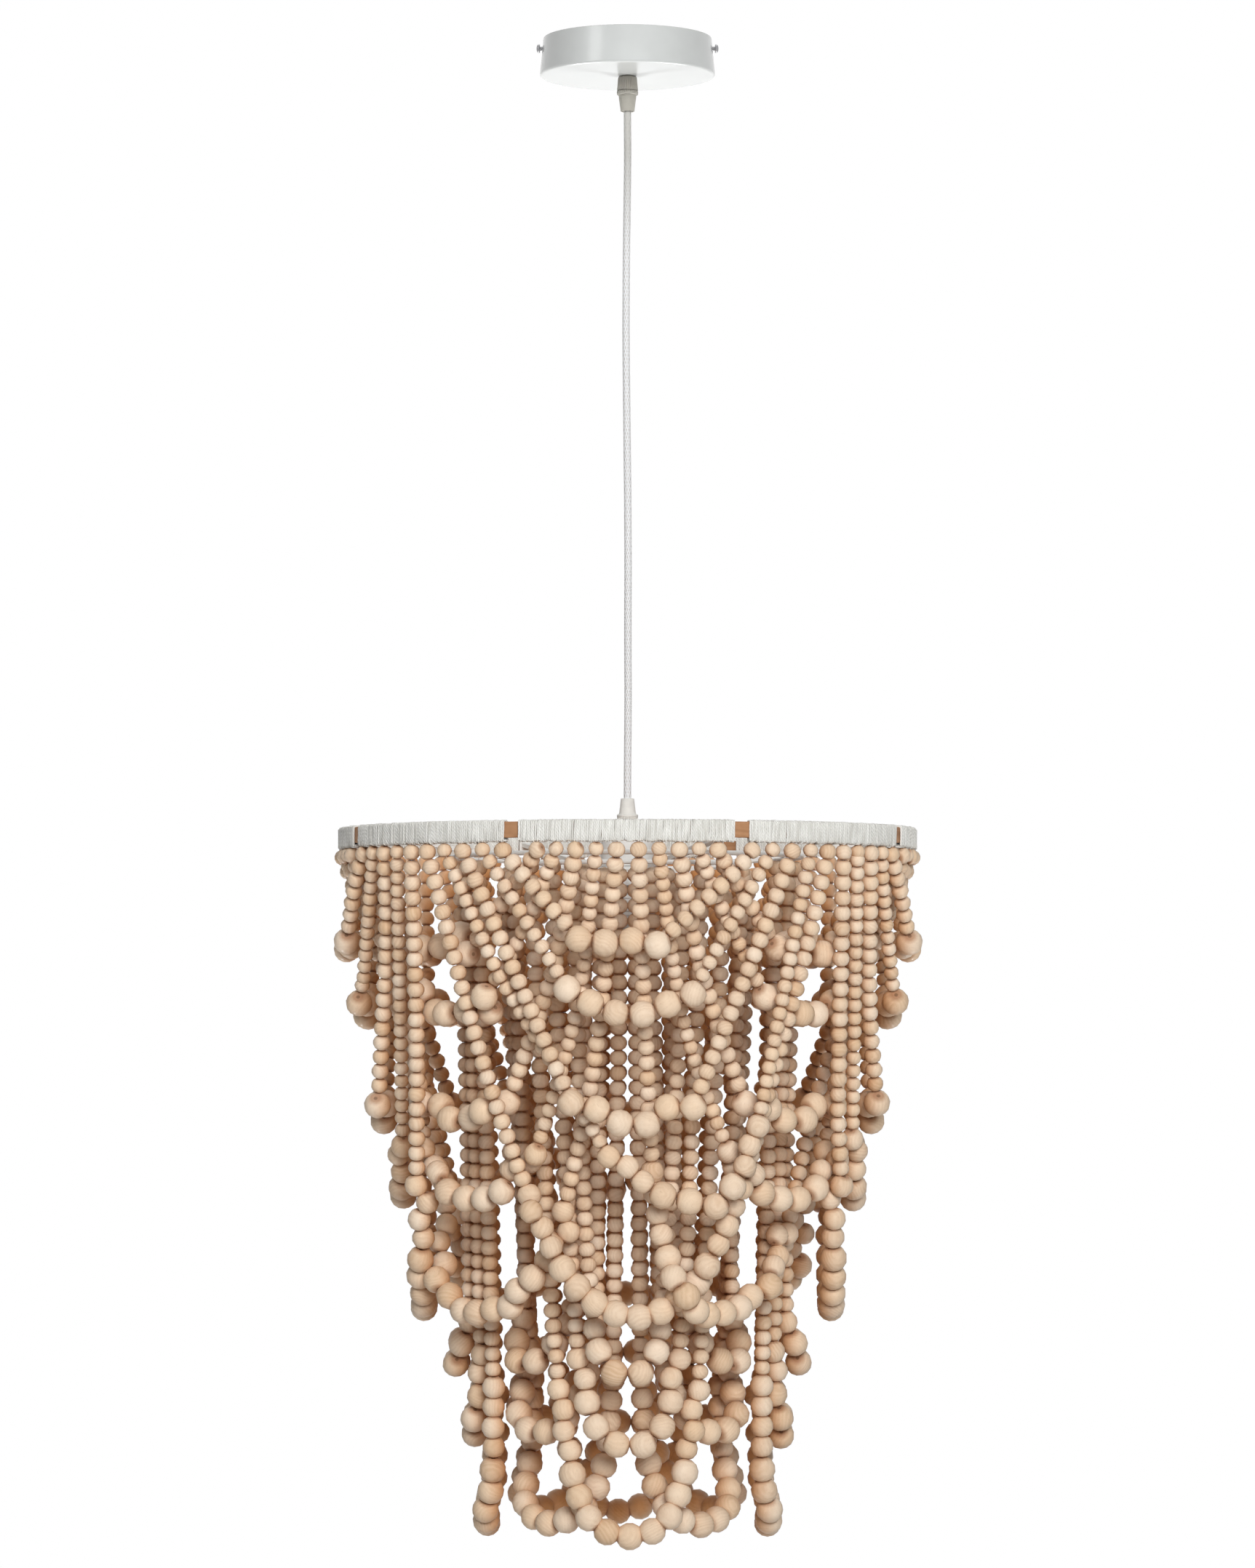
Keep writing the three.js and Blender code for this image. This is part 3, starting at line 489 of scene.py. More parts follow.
@dataclass(frozen=True)
class BeadWood(Finish):
    """Unfinished pale wood, with its own tone and run of grain on every bead."""

    patches: float = 170.0
    rougher: float = 0.12
    relief: float = 0.18
    relief_depth: float = 0.00012
    rings: float = 420.0
    dark: Colour = linear(196, 158, 118)
    warm: Colour = linear(230, 198, 160)
    dull: Colour = linear(214, 188, 158)
    pore: Colour = linear(150, 108, 76)
    # Painted shade: the dark line where beads touch, laid on each bead's ends.
    crease: Colour = linear(166, 114, 72)
    # Painted shade: the warm dark laid on each bead's side that faces into the strings.
    inner_shade_colour: Colour = linear(223, 180, 138)
    # Painted shade in the bead's hole.
    hole: Colour = linear(74, 48, 30)
    warm_share: float = 0.55
    line_shares: tuple[float, float] = (0.42, 0.1)
    dull_share: float = 0.45
    cloud_share: float = 0.16
    pore_share: float = 0.25
    # Where on the ends the painted contact shade and the painted hole shade lie, and how strong each is.
    contact_shade_from: tuple[float, float] = (0.12, 0.5)
    contact_shade_share: float = 0.6
    hole_shade_from: tuple[float, float] = (0.85, 0.97)
    hole_share: float = 0.5
    speck_relief: float = 0.6
    specular: float = 0.1
    polish: float = 0.25

    def dress(self, desk: NodeDesk) -> None:
        """Adds each bead's tone, grain and pores, and paints shade on its ends where beads touch, in its hole
        and on its side that faces the lamp's axis.

        Args:
            desk: the material's desk.
        """
        own = desk.read("bead_place", "Vector")
        parts = ("tone", "warmth", "end", "shelter")
        tone, warmth, end, shelter = (desk.read(f"bead_{part}") for part in parts)
        grain = WoodGrain().use(desk, Place=own, Rings=self.rings, Waver=0.5)
        mottle = self.mottle(desk, own)
        wood = desk.blend(desk.times(warmth, self.warm_share), self.colour, self.warm)
        lined = desk.times(grain["Lines"], desk.spread(tone, 0, 1, *self.line_shares))
        wood = desk.blend(lined, wood, self.dark)
        wood = desk.blend(desk.spread(tone, 0, 1, self.dull_share, 0), wood, self.dull, "MULTIPLY")
        wood = desk.blend(desk.times(mottle["Cloud"], self.cloud_share), wood, self.dark)
        wood = desk.blend(desk.times(grain["Pores"], self.pore_share), wood, self.pore)
        # Painted contact shade on the ends, where the bead touches its neighbours.
        contact_shade = desk.spread(end, *self.contact_shade_from, 0, self.contact_shade_share)
        wood = desk.blend(contact_shade, wood, self.crease, "MULTIPLY")
        # Painted shade on the bead's inner side, the deeper the further into the strings it hangs.
        wood = desk.blend(shelter, wood, self.inner_shade_colour, "MULTIPLY")
        # Painted shade in the hole.
        hole_shade_mask = desk.spread(end, *self.hole_shade_from, 0, self.hole_share)
        height = desk.calc("ADD", grain["Lines"], desk.times(mottle["Fine"], self.speck_relief))
        desk.give(
            Base_Color=desk.blend(hole_shade_mask, wood, self.hole),
            Roughness=self.rough(desk, grain["Lines"]),
            Normal=self.raised(desk, height),
            Specular_IOR_Level=self.specular,
            Coat_Weight=self.polish,
            Coat_Roughness=self.polish,
        )


@dataclass(frozen=True)
class HoopWood(Finish):
    """Bent brown wood, with its grain along the hoop."""

    patches: float = 120.0
    specks: float = 1500.0
    rougher: float = 0.15
    relief: float = 0.3
    relief_depth: float = 0.0002
    dark: Colour = linear(122, 80, 50)
    grain_draw: Place = (0.2, 0.2, 6)
    rings: float = 60.0
    line_share: float = 0.5
    cloud_share: float = 0.3

    def dress(self, desk: NodeDesk) -> None:
        """Adds grain that follows the hoop.

        Args:
            desk: the material's desk.
        """
        place = desk.place()
        along = desk.stretched(place, self.grain_draw)
        grain = WoodGrain().use(desk, Place=along, Rings=self.rings, Waver=1.0)
        mottle = self.mottle(desk, place)
        lined = desk.blend(desk.times(grain["Lines"], self.line_share), self.colour, self.dark)
        desk.give(
            Base_Color=desk.blend(desk.times(mottle["Cloud"], self.cloud_share), lined, self.dark),
            Roughness=self.rough(desk, mottle["Fine"]),
            Normal=self.raised(desk, grain["Lines"]),
        )


@dataclass(frozen=True)
class SpunYarn(Finish):
    """Loosely twisted yarn with fuzz on it."""

    relief: float = 0.5
    relief_depth: float = 0.0003
    # A darker colour for random darker turns and patches, and for painted shade in the gaps between fibres.
    darker_tone_and_gap_shade: Colour = linear(202, 200, 193)
    tone_draw: Place = (0, 0.1, 0)
    tone_range: tuple[float, float] = (0.4, 0.65)
    tone_share: float = 0.75
    slant: float = 0.9
    fibres: float = 3.0
    gap_shade_to: float = 0.6
    gap_shade_share: float = 0.5
    cloud_share: float = 0.22
    sheen: float = 0.35
    sheen_roughness: float = 0.5

    def dress(self, desk: NodeDesk) -> None:
        """Adds the twist, turns that differ in tone, the shade between fibres and a soft sheen.

        Args:
            desk: the material's desk.
        """
        strand = desk.add("UVMap", uv_map="strand").outputs["UV"]
        twist = FibreTwist().use(desk, Map=strand, Slant=self.slant, Fibres=self.fibres)
        mottle = self.mottle(desk, desk.place())
        along = desk.noise(desk.stretched(strand, self.tone_draw), 1, 1)
        toned = desk.spread(along, *self.tone_range, 0, self.tone_share)
        wool = desk.blend(toned, self.colour, self.darker_tone_and_gap_shade)
        # Painted shade in the gaps between fibres.
        gap = desk.times(desk.spread(twist["Fibre"], 0, self.gap_shade_to, 1, 0), self.gap_shade_share)
        wool = desk.blend(gap, wool, self.darker_tone_and_gap_shade)
        desk.give(
            Base_Color=desk.blend(desk.times(mottle["Cloud"], self.cloud_share), wool, self.darker_tone_and_gap_shade),
            Normal=self.raised(desk, desk.calc("ADD", twist["Fibre"], twist["Fuzz"])),
            Sheen_Weight=self.sheen,
            Sheen_Roughness=self.sheen_roughness,
        )


@dataclass(frozen=True)
class BraidedTextile(Finish):
    """A tight textile braid: two sets of slanting strands that cross, greyed by painted shade below the
    ceiling grip.
    """

    relief: float = 0.6
    relief_depth: float = 0.0003
    # A darker colour for fuzz and for painted shade in the gaps between crossing strands.
    darker_tone_and_gap_shade: Colour = linear(202, 200, 196)
    # Painted shade on the cord's top below the rose: full above 75 mm below the ceiling and gone by 150 mm.
    top_shade_colour: Colour = linear(184, 183, 178)
    top_shade_from: float = -0.15
    top_shade_to: float = -0.075
    top_shade_share: float = 0.9
    strands: float = 8.0
    gap_shade_range: tuple[float, float] = (0.3, 0.9)
    gap_shade_share: float = 0.7
    fuzz_range: tuple[float, float] = (0.3, 0.7)
    fuzz_share: float = 0.25
    sheen: float = 0.2

    def dress(self, desk: NodeDesk) -> None:
        """Adds the crossing strands with painted shade in their gaps, and painted shade on the cord's top
        below the ceiling grip.

        Args:
            desk: the material's desk.
        """
        strand = desk.add("UVMap", uv_map="strand").outputs["UV"]
        left = FibreTwist().use(desk, Map=strand, Slant=1.0, Fibres=self.strands)
        right = FibreTwist().use(desk, Map=strand, Slant=-1.0, Fibres=self.strands)
        crest = desk.calc("MAXIMUM", left["Fibre"], right["Fibre"])
        # Painted shade in the gaps between crossing strands.
        gap = desk.times(desk.spread(crest, *self.gap_shade_range, 1, 0), self.gap_shade_share)
        fuzz = desk.spread(left["Fuzz"], *self.fuzz_range, 0, self.fuzz_share)
        braid = desk.blend(desk.calc("ADD", gap, fuzz), self.colour, self.darker_tone_and_gap_shade)
        height = desk.axis(desk.place(), "Z")
        # Painted shade on the top of the cord, by its height.
        grey = desk.spread(height, self.top_shade_from, self.top_shade_to, 0, self.top_shade_share)
        desk.give(
            Base_Color=desk.blend(grey, braid, self.top_shade_colour),
            Normal=self.raised(desk, crest),
            Sheen_Weight=self.sheen,
        )


@dataclass(frozen=True)
class ClearThread(Finish):
    """Thin pale thread that the beads hang on."""

    patches: float = 300.0
    specks: float = 3000.0
    darker: float = 0.85

    def dress(self, desk: NodeDesk) -> None:
        """Adds a faint unevenness."""
        mottle = self.mottle(desk, desk.place())
        desk.give(Base_Color=desk.blend(mottle["Fine"], shaded(self.colour, self.darker), self.colour))


ROSE_PAINT = Painted("Pale grey enamel", linear(198, 201, 200), 0.42, FinishSlot.ROSE_PAINT, coat=1.0)
FRAME_PAINT = Painted("White frame paint", linear(232, 231, 227), 0.42, FinishSlot.WHITE_FRAME)
ZINC = Plated("Zinc plated steel", linear(176, 178, 184), 0.36, FinishSlot.STEEL)
NICKEL = Plated("Bright nickel", linear(158, 158, 160), 0.3, FinishSlot.STEEL)
GREY_GRIP = Moulded("Warm grey moulding", linear(172, 169, 160), 0.45, FinishSlot.GREY_PLASTIC)
DARK_GRIP = Moulded("Fluted grey moulding", linear(170, 166, 157), 0.5, FinishSlot.GREY_PLASTIC)
WHITE_GRIP = Moulded("Off-white moulding", linear(230, 228, 222), 0.5, FinishSlot.WHITE_PLASTIC)
HOLDER_WHITE = Moulded("White lampholder moulding", linear(226, 225, 221), 0.42, FinishSlot.WHITE_PLASTIC)
BEAD_WOOD = BeadWood("Pale bead wood", linear(242, 223, 201), 0.6, FinishSlot.PALE_BEADS)
HOOP_WOOD = HoopWood("Brown hoop wood", linear(180, 136, 100), 0.55, FinishSlot.BROWN_WOOD)
YARN = SpunYarn("White spun yarn", linear(242, 242, 238), 0.95, FinishSlot.WHITE_YARN)
BRAID = BraidedTextile("Pale braided textile", linear(242, 244, 247), 0.85, FinishSlot.TEXTILE_CORD)
THREAD = ClearThread("Pale thread", linear(226, 222, 214), 0.4, FinishSlot.PALE_BEADS)


# Modelling helpers


def alone(piece: bpy.types.Object) -> None:
    """Leaves one object selected and active.

    Args:
        piece: the object.
    """
    bpy.ops.object.select_all(action="DESELECT")
    piece.select_set(True)
    bpy.context.view_layer.objects.active = piece


def ends(node: str) -> tuple[float, float]:
    """The heights of a CAD node's lower and upper end, in millimetres."""
    low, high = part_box(node)
    return low.z / MILLIMETRE, high.z / MILLIMETRE


def reach(node: str) -> float:
    """How far a CAD node reaches to the right of the lamp's axis, in millimetres."""
    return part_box(node)[1].x / MILLIMETRE


def turned(name: str, outline: Outline, sides: int, closed: bool = True) -> bpy.types.Object:
    """A turned piece: a ring that is drawn along an outline by extruding and resizing it.

    Args:
        name: the piece's name.
        outline: pairs of radius and height in millimetres.
        sides: points round each ring.
        closed: True joins the last ring to the first, and False closes both ends with a flat face.

    Returns:
        The piece, standing at its place.
    """
    radius, height = outline[0]
    bpy.ops.object.select_all(action="DESELECT")
    bpy.ops.mesh.primitive_circle_add(
        vertices=sides, radius=radius * MILLIMETRE, location=(0, 0, height * MILLIMETRE),
    )
    piece = bpy.context.object
    bpy.ops.object.transform_apply(location=True, rotation=False, scale=False)
    bpy.ops.object.mode_set(mode="EDIT")
    bpy.ops.mesh.select_all(action="SELECT")
    for next_radius, next_height in outline[1:]:
        rise = (0, 0, (next_height - height) * MILLIMETRE)
        bpy.ops.mesh.extrude_region_move(TRANSFORM_OT_translate={"value": rise})
        grow = next_radius / radius
        centre = (0, 0, next_height * MILLIMETRE)
        bpy.ops.transform.resize(value=(grow, grow, 1), center_override=centre)
        radius, height = next_radius, next_height
    bpy.ops.mesh.select_all(action="DESELECT")
    bpy.ops.mesh.select_non_manifold()
    if closed:
        bpy.ops.mesh.bridge_edge_loops()
    else:
        bpy.ops.mesh.fill_holes(sides=0)
    bpy.ops.mesh.select_all(action="SELECT")
    bpy.ops.mesh.normals_make_consistent(inside=False)
    bpy.ops.object.mode_set(mode="OBJECT")
    piece.name = name
    return piece


def pinch(piece: bpy.types.Object, rings: Outline, sides: int, depth: float) -> None:
    """Draws in every fourth column of some rings of a turned piece, as flutes and notches are.

    Args:
        piece: the turned piece.
        rings: radius and height of the outermost rings to draw in, in millimetres.
        sides: columns round the piece.
        depth: how far they are drawn in, in millimetres.
    """
    every, slack = 4, 0.01
    least = min(radius for radius, _ in rings) - slack
    low = min(height for _, height in rings) - slack
    high = max(height for _, height in rings) + slack
    picked = []
    for vertex in piece.data.vertices:
        radius = math.hypot(vertex.co.x, vertex.co.y) / MILLIMETRE
        column = round(math.atan2(vertex.co.y, vertex.co.x) / FULL_TURN * sides)
        inside = low <= vertex.co.z / MILLIMETRE <= high and radius > least
        vertex.select = inside and column % every == 0
        if vertex.select:
            picked.append(radius)
    for part in (*piece.data.polygons, *piece.data.edges):
        part.select = False
    alone(piece)
    bpy.ops.object.mode_set(mode="EDIT")
    bpy.context.tool_settings.mesh_select_mode = (True, False, False)
    shrink = 1 - depth / (sum(picked) / len(picked))
    bpy.ops.transform.resize(value=(shrink, shrink, 1), center_override=(0, 0, 0))
    bpy.ops.object.mode_set(mode="OBJECT")


def finished(
    piece: bpy.types.Object, finish: Finish, carrier: Carrier, node: str, crease: float = 35,
) -> None:
    """Dresses a modelled piece and puts it on its body.

    Args:
        piece: the piece, in its place.
        finish: what it is made of.
        carrier: the body that it rides on.
        node: the CAD node that it stands for.
        crease: edges sharper than this many degrees stay sharp.
    """
    alone(piece)
    bpy.ops.object.shade_smooth_by_angle(angle=math.radians(crease))
    if not piece.data.materials:
        piece.data.materials.append(finish.material())
    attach(piece, carrier.value)
    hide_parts(node)
    LOG.info("%s: %d faces on %s", piece.name, len(piece.data.polygons), carrier.value)


def repaint(node: str, finish: Finish) -> None:
    """Gives a CAD node its real finish.

    Args:
        node: the node's name.
        finish: what it is made of.
    """
    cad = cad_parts[node]
    cad.data.materials.clear()
    cad.data.materials.append(finish.material())
    LOG.info("%s: kept, in %s", node, finish.title)


def mesh_piece(name: str, points: np.ndarray, faces: list[tuple[int, ...]]) -> bpy.types.Object:
    """A new piece from points and faces.

    Args:
        name: the piece's name.
        points: its points in metres.
        faces: its faces, as indices of points.

    Returns:
        The piece.
    """
    mesh = bpy.data.meshes.new(name)
    mesh.from_pydata([tuple(point) for point in points], [], faces)
    mesh.validate()
    piece = bpy.data.objects.new(name, mesh)
    bpy.context.scene.collection.objects.link(piece)
    return piece


def run_along(line: np.ndarray) -> np.ndarray:
    """The length from a line's start to each of its points."""
    return np.concatenate([[0], np.cumsum(np.linalg.norm(np.diff(line, axis=0), axis=1))])


def points_at(stops: np.ndarray, line: np.ndarray) -> np.ndarray:
    """The points of a line at some lengths from its start."""
    run = run_along(line)
    return np.column_stack([np.interp(stops, run, line[:, axis]) for axis in range(3)])


def smooth_curve(knots: np.ndarray, steps: int) -> np.ndarray:
    """The smooth curve through some knots.

    Args:
        knots: the points that it passes.
        steps: points from one knot to the next.

    Returns:
        The points of the curve.
    """
    around = np.vstack([2 * knots[0] - knots[1], knots, 2 * knots[-1] - knots[-2]])
    curve = []
    for before, start, end, after in zip(around, around[1:], around[2:], around[3:]):
        for share in np.linspace(0, 1, steps, endpoint=False):
            bend = 2 * before - 5 * start + 4 * end - after + share * (3 * (start - end) + after - before)
            curve.append(start + 0.5 * share * (end - before + share * bend))
    return np.array([*curve, knots[-1]])


def strand(name: str, line: np.ndarray, radii: np.ndarray, sides: int, pitch: float) -> bpy.types.Object:
    """A round strand along a line, with a map that runs round it and along it.

    Args:
        name: the piece's name.
        line: the points of its centre line in metres.
        radii: its radius at each point in metres.
        sides: points round it.
        pitch: the length in metres that one step of the map covers along it.

    Returns:
        The strand, with a flat face at each end.
    """
    tangents = np.gradient(line, axis=0)
    tangents /= np.linalg.norm(tangents, axis=1)[:, None]
    across = np.cross(tangents[0], (1.0, 0.0, 0.0))
    if np.linalg.norm(across) < 0.1:
        across = np.cross(tangents[0], (0.0, 1.0, 0.0))
    points = []
    for place, tangent, radius in zip(line, tangents, radii):
        across = across - tangent * across.dot(tangent)
        across = across / np.linalg.norm(across)
        beside = np.cross(tangent, across)
        for side in range(sides):
            angle = side / sides * FULL_TURN
            points.append(place + radius * (math.cos(angle) * across + math.sin(angle) * beside))
    spans = list(itertools.product(range(len(line) - 1), range(sides)))
    faces = []
    for ring, side in spans:
        here, beside_it = ring * sides + side, ring * sides + (side + 1) % sides
        faces.append((here, beside_it, beside_it + sides, here + sides))
    faces.append(tuple(reversed(range(sides))))
    faces.append(tuple(range((len(line) - 1) * sides, len(line) * sides)))
    piece = mesh_piece(name, np.array(points), faces)
    run = run_along(line) / pitch
    chart = piece.data.uv_layers.new(name="strand")
    for face, (ring, side) in enumerate(spans):
        corners = ((side, ring), (side + 1, ring), (side + 1, ring + 1), (side, ring + 1))
        for corner, (column, row) in enumerate(corners):
            chart.data[face * len(corners) + corner].uv = (column / sides, run[row])
    return piece


@dataclass(frozen=True)
class Flutes:
    """Notches round a moulding: the first and last point of its outline that they take, and their depth."""

    first: int
    last: int
    depth: float


@dataclass(frozen=True)
class Moulding:
    """A turned moulding that stands for one CAD node.

    Its outline is pairs of radius and distance in millimetres, first up from the node's lower end and then
    down from its upper end.
    """

    node: str
    title: str
    finish: Finish
    carrier: Carrier
    up_from_low: Outline
    down_from_high: Outline
    flutes: tuple[Flutes, ...]
    sides: int = 136
    crease: float = 50

    def build(self) -> None:
        """Turns the moulding, draws in its flutes and dresses it."""
        low, high = ends(self.node)
        outline = [(radius, low + rise) for radius, rise in self.up_from_low]
        outline += [(radius, high - drop) for radius, drop in self.down_from_high]
        piece = turned(self.title, outline, self.sides)
        for flutes in self.flutes:
            pinch(piece, outline[flutes.first:flutes.last + 1], self.sides, flutes.depth)
        finished(piece, self.finish, self.carrier, self.node, self.crease)


# The ceiling rose and the cord grips


@dataclass
class CeilingRose:
    """The painted cup at the ceiling, with its side screws, bracket, nut and terminal block."""

    top_radius: float = 58.5
    bottom_radius: float = 60.9
    height: float = 26.3
    top: float = -0.3
    wall: float = 1.0
    hole_radius: float = 5.4
    edge: float = 1.6
    edge_angles: tuple[float, ...] = (0, 20, 40, 60, 80)
    sides: int = 160
    screw_height: float = -7.2
    screw_sides: int = 32
    head_radius: float = 3.0
    head_height: float = 2.4
    head_ease: float = 0.25
    head_seat_share: float = 0.93
    head_rim_share: float = 0.4
    dome_shares: tuple[float, ...] = (0.97, 0.86, 0.62, 0.3)
    recess_share: float = 0.26
    recess_depth: float = 1.1
    shank_radius: float = 1.5
    point_share: float = 0.6
    nut_bore: float = 5.2
    nut_ease: float = 0.5
    nut_face_share: float = 0.9
    nut_bevel: float = 0.25

    def build(self) -> None:
        """Builds and dresses the rose and what is in it."""
        self.cup()
        for side, name in ((1, "side_screw_right"), (-1, "side_screw_left")):
            self.side_screw(side, name)
        self.nut()
        repaint("ceiling_bracket", ZINC)
        repaint("terminal_block", HOLDER_WHITE)

    def cup(self) -> None:
        """The cup, a thin wall turned down to a rounded lower edge."""
        floor = self.top - self.height
        arc = [(math.cos(math.radians(angle)), math.sin(math.radians(angle))) for angle in self.edge_angles]
        corner_in, corner_up = self.bottom_radius - self.edge, floor + self.edge
        rim = self.wall / 4
        outline = [(self.hole_radius, floor + self.wall), (self.hole_radius, floor + rim / 2)]
        outline += [(self.hole_radius + rim / 2, floor), (corner_in - rim, floor)]
        outline += [(corner_in + self.edge * c, corner_up - self.edge * s) for c, s in reversed(arc)]
        flare = (self.bottom_radius - self.top_radius) / (self.top - corner_up)
        for height in (corner_up + rim, self.top - 2 * rim):
            outline.append((self.bottom_radius - flare * (height - corner_up), height))
        outline += [(self.top_radius, self.top - rim), (self.top_radius - rim, self.top)]
        outline += [
            (self.top_radius - self.wall + rim, self.top), (self.top_radius - self.wall, self.top - rim),
        ]
        inner_edge = self.edge - self.wall
        outline += [(corner_in + inner_edge * c, corner_up - inner_edge * s) for c, s in arc]
        piece = turned("ceiling_rose_cup", outline, self.sides)
        finished(piece, ROSE_PAINT, Carrier.ROSE, "ceiling_rose")

    def side_screw(self, side: int, name: str) -> None:
        """One side screw, with a domed head that has a round recess.

        Args:
            side: 1 on the right and -1 on the left.
            name: the CAD node's name.
        """
        near, far = sorted(abs(corner.x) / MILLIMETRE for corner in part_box(name))
        seat = far - self.head_height
        rim = seat + self.head_height * self.head_rim_share
        rise = far - rim
        outline = [
            (self.shank_radius * self.point_share, near),
            (self.shank_radius, near + self.shank_radius * self.point_share),
            (self.shank_radius, seat), (self.head_radius * self.head_seat_share, seat),
            (self.head_radius, seat + self.head_ease), (self.head_radius, rim),
        ]
        outline += [
            (self.head_radius * share, rim + rise * math.sqrt(1 - share ** 2)) for share in self.dome_shares
        ]
        outline += [(self.head_radius * self.recess_share, far - self.recess_depth)]
        piece = turned(f"{name}_turned", outline, self.screw_sides, closed=False)
        alone(piece)
        bpy.ops.transform.rotate(
            value=math.radians(-90 * side), orient_axis="Y", center_override=(0, 0, 0),
        )
        bpy.ops.transform.translate(value=(0, 0, self.screw_height * MILLIMETRE))
        bpy.ops.object.transform_apply(location=True, rotation=True, scale=True)
        finished(piece, NICKEL, Carrier.ROSE, name)

    def nut(self) -> None:
        """The hex nut inside the rose, with turned-off corners."""
        bottom, top = ends("grip_nut")
        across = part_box("grip_nut")[1].y / MILLIMETRE
        face = across * self.nut_face_share
        outline = [
            (self.nut_bore, bottom), (face, bottom), (across, bottom + self.nut_ease),
            (across, top - self.nut_ease), (face, top), (self.nut_bore, top),
        ]
        piece = turned("grip_nut_hex", outline, 6)
        alone(piece)
        bpy.ops.object.modifier_add(type="BEVEL")
        piece.modifiers[-1].width = self.nut_bevel * MILLIMETRE
        bpy.ops.object.modifier_apply(modifier=piece.modifiers[-1].name)
        finished(piece, ZINC, Carrier.ROSE, "grip_nut", crease=25)


@dataclass
class CordGrips:
    """The moulded grips that hold the cord at the rose and at the lampholder, each a cone and a body."""

    bore: float = 3.2
    stem: float = 4.9
    mouldings: tuple[Moulding, ...] = (
        Moulding(
            "upper_grip_body", "upper_grip_fluted_body", DARK_GRIP, Carrier.ROSE,
            ((bore, 0), (6.9, 0), (7.3, 0.35), (7.22, 1.2), (7.022, 3.642), (6.824, 6.084), (6.62, 8.6),
             (6.3, 9.3), (6.0, 9.6), (stem, 9.6)),
            ((stem, 0), (bore, 0)),
            (Flutes(3, 6, 0.6),),
        ),
        Moulding(
            "upper_grip_cone", "upper_grip_cone_moulding", GREY_GRIP, Carrier.ROSE,
            ((4.85, 0.4), (4.6, 0), (4.0, 0), (3.7, 0.6), (bore, 1.5)),
            ((bore, 0), (7.0, 0), (7.45, 0.25), (7.45, 0.55), (7.4, 1.0), (7.45, 1.2), (7.35, 2.4),
             (6.9, 2.7), (6.2, 2.7), (6.17, 2.9), (5.85, 5.9), (5.8, 6.2)),
            (Flutes(7, 9, 0.9), Flutes(14, 15, 0.28)),
        ),
        Moulding(
            "lower_grip_cone", "lower_grip_cone_moulding", WHITE_GRIP, Carrier.SHADE,
            ((5.85, 4.4), (6.3, 3.6), (6.95, 3.5), (7.3, 3.2), (7.35, 1.9), (7.2, 1.7), (7.2, 0.3), (6.9, 0),
             (bore, 0)),
            ((bore, 1.5), (3.7, 0.6), (4.0, 0), (4.45, 0), (4.65, 0.3), (5.2, 5.2)),
            (Flutes(5, 7, 0.55),),
        ),
        Moulding(
            "lower_grip_body", "lower_grip_fluted_body", WHITE_GRIP, Carrier.SHADE,
            ((bore, 0), (stem, 0)),
            ((stem, 8.2), (6.4, 8.2), (6.8, 7.8), (6.8, 0.4), (6.4, 0), (bore, 0)),
            (Flutes(4, 5, 0.4),),
        ),
    )

    def build(self) -> None:
        """Builds the four mouldings of the two grips."""
        for moulding in self.mouldings:
            moulding.build()


@dataclass
class PowerCord:
    """The free stretch of braided cord between the grips, a little wavy as it hangs."""

    radius: float = 2.55
    step: float = 0.8
    curve_steps: int = 8
    sides: int = 24
    braid_pitch: float = 5.2
    upper_mouth: float = -51
    lower_mouth: float = -528.9
    held: float = 4.5
    straight: float = 8
    sways: tuple[Place, ...] = (
        (0.069, 0.1, 0), (0.111, -0.1, 0.1), (0.157, -0.4, 0.2), (0.207, -0.7, 0.2), (0.262, -0.9, 0.1),
        (0.318, -1, 0), (0.375, -0.8, -0.1), (0.433, -0.5, -0.2), (0.492, -0.2, -0.3), (0.55, 0.1, -0.3),
        (0.609, 0.3, -0.2), (0.667, 0.4, 0), (0.726, 0.3, 0.2), (0.785, 0.3, 0.3), (0.843, 0.4, 0.3),
        (0.898, 0.3, 0.2), (0.944, 0.1, 0.1),
    )

    def route(self) -> np.ndarray:
        """The cord's way down, with the stretches that the grips hold.

        Returns:
            The points that it passes, in millimetres.
        """
        upper, lower = self.upper_mouth, self.lower_mouth
        top = [(0, 0, height) for height in (upper + self.held, upper, upper - self.straight)]
        swayed = [(x, y, upper + (lower - upper) * share) for share, x, y in self.sways]
        end = [(0, 0, height) for height in (lower + self.straight, lower, lower - self.held)]
        return np.array([*top, *swayed, *end], dtype=float)

    def build(self) -> None:
        curve = smooth_curve(self.route(), self.curve_steps)
        whole = run_along(curve)[-1]
        line = points_at(np.linspace(0, whole, round(whole / self.step) + 1), curve) * MILLIMETRE
        radii = np.full(len(line), self.radius * MILLIMETRE)
        piece = strand("braided_power_cord", line, radii, self.sides, self.braid_pitch * MILLIMETRE)
        finished(piece, BRAID, Carrier.CORD, "power_cord", crease=60)


# The lampholder and the frame that carries the hoop


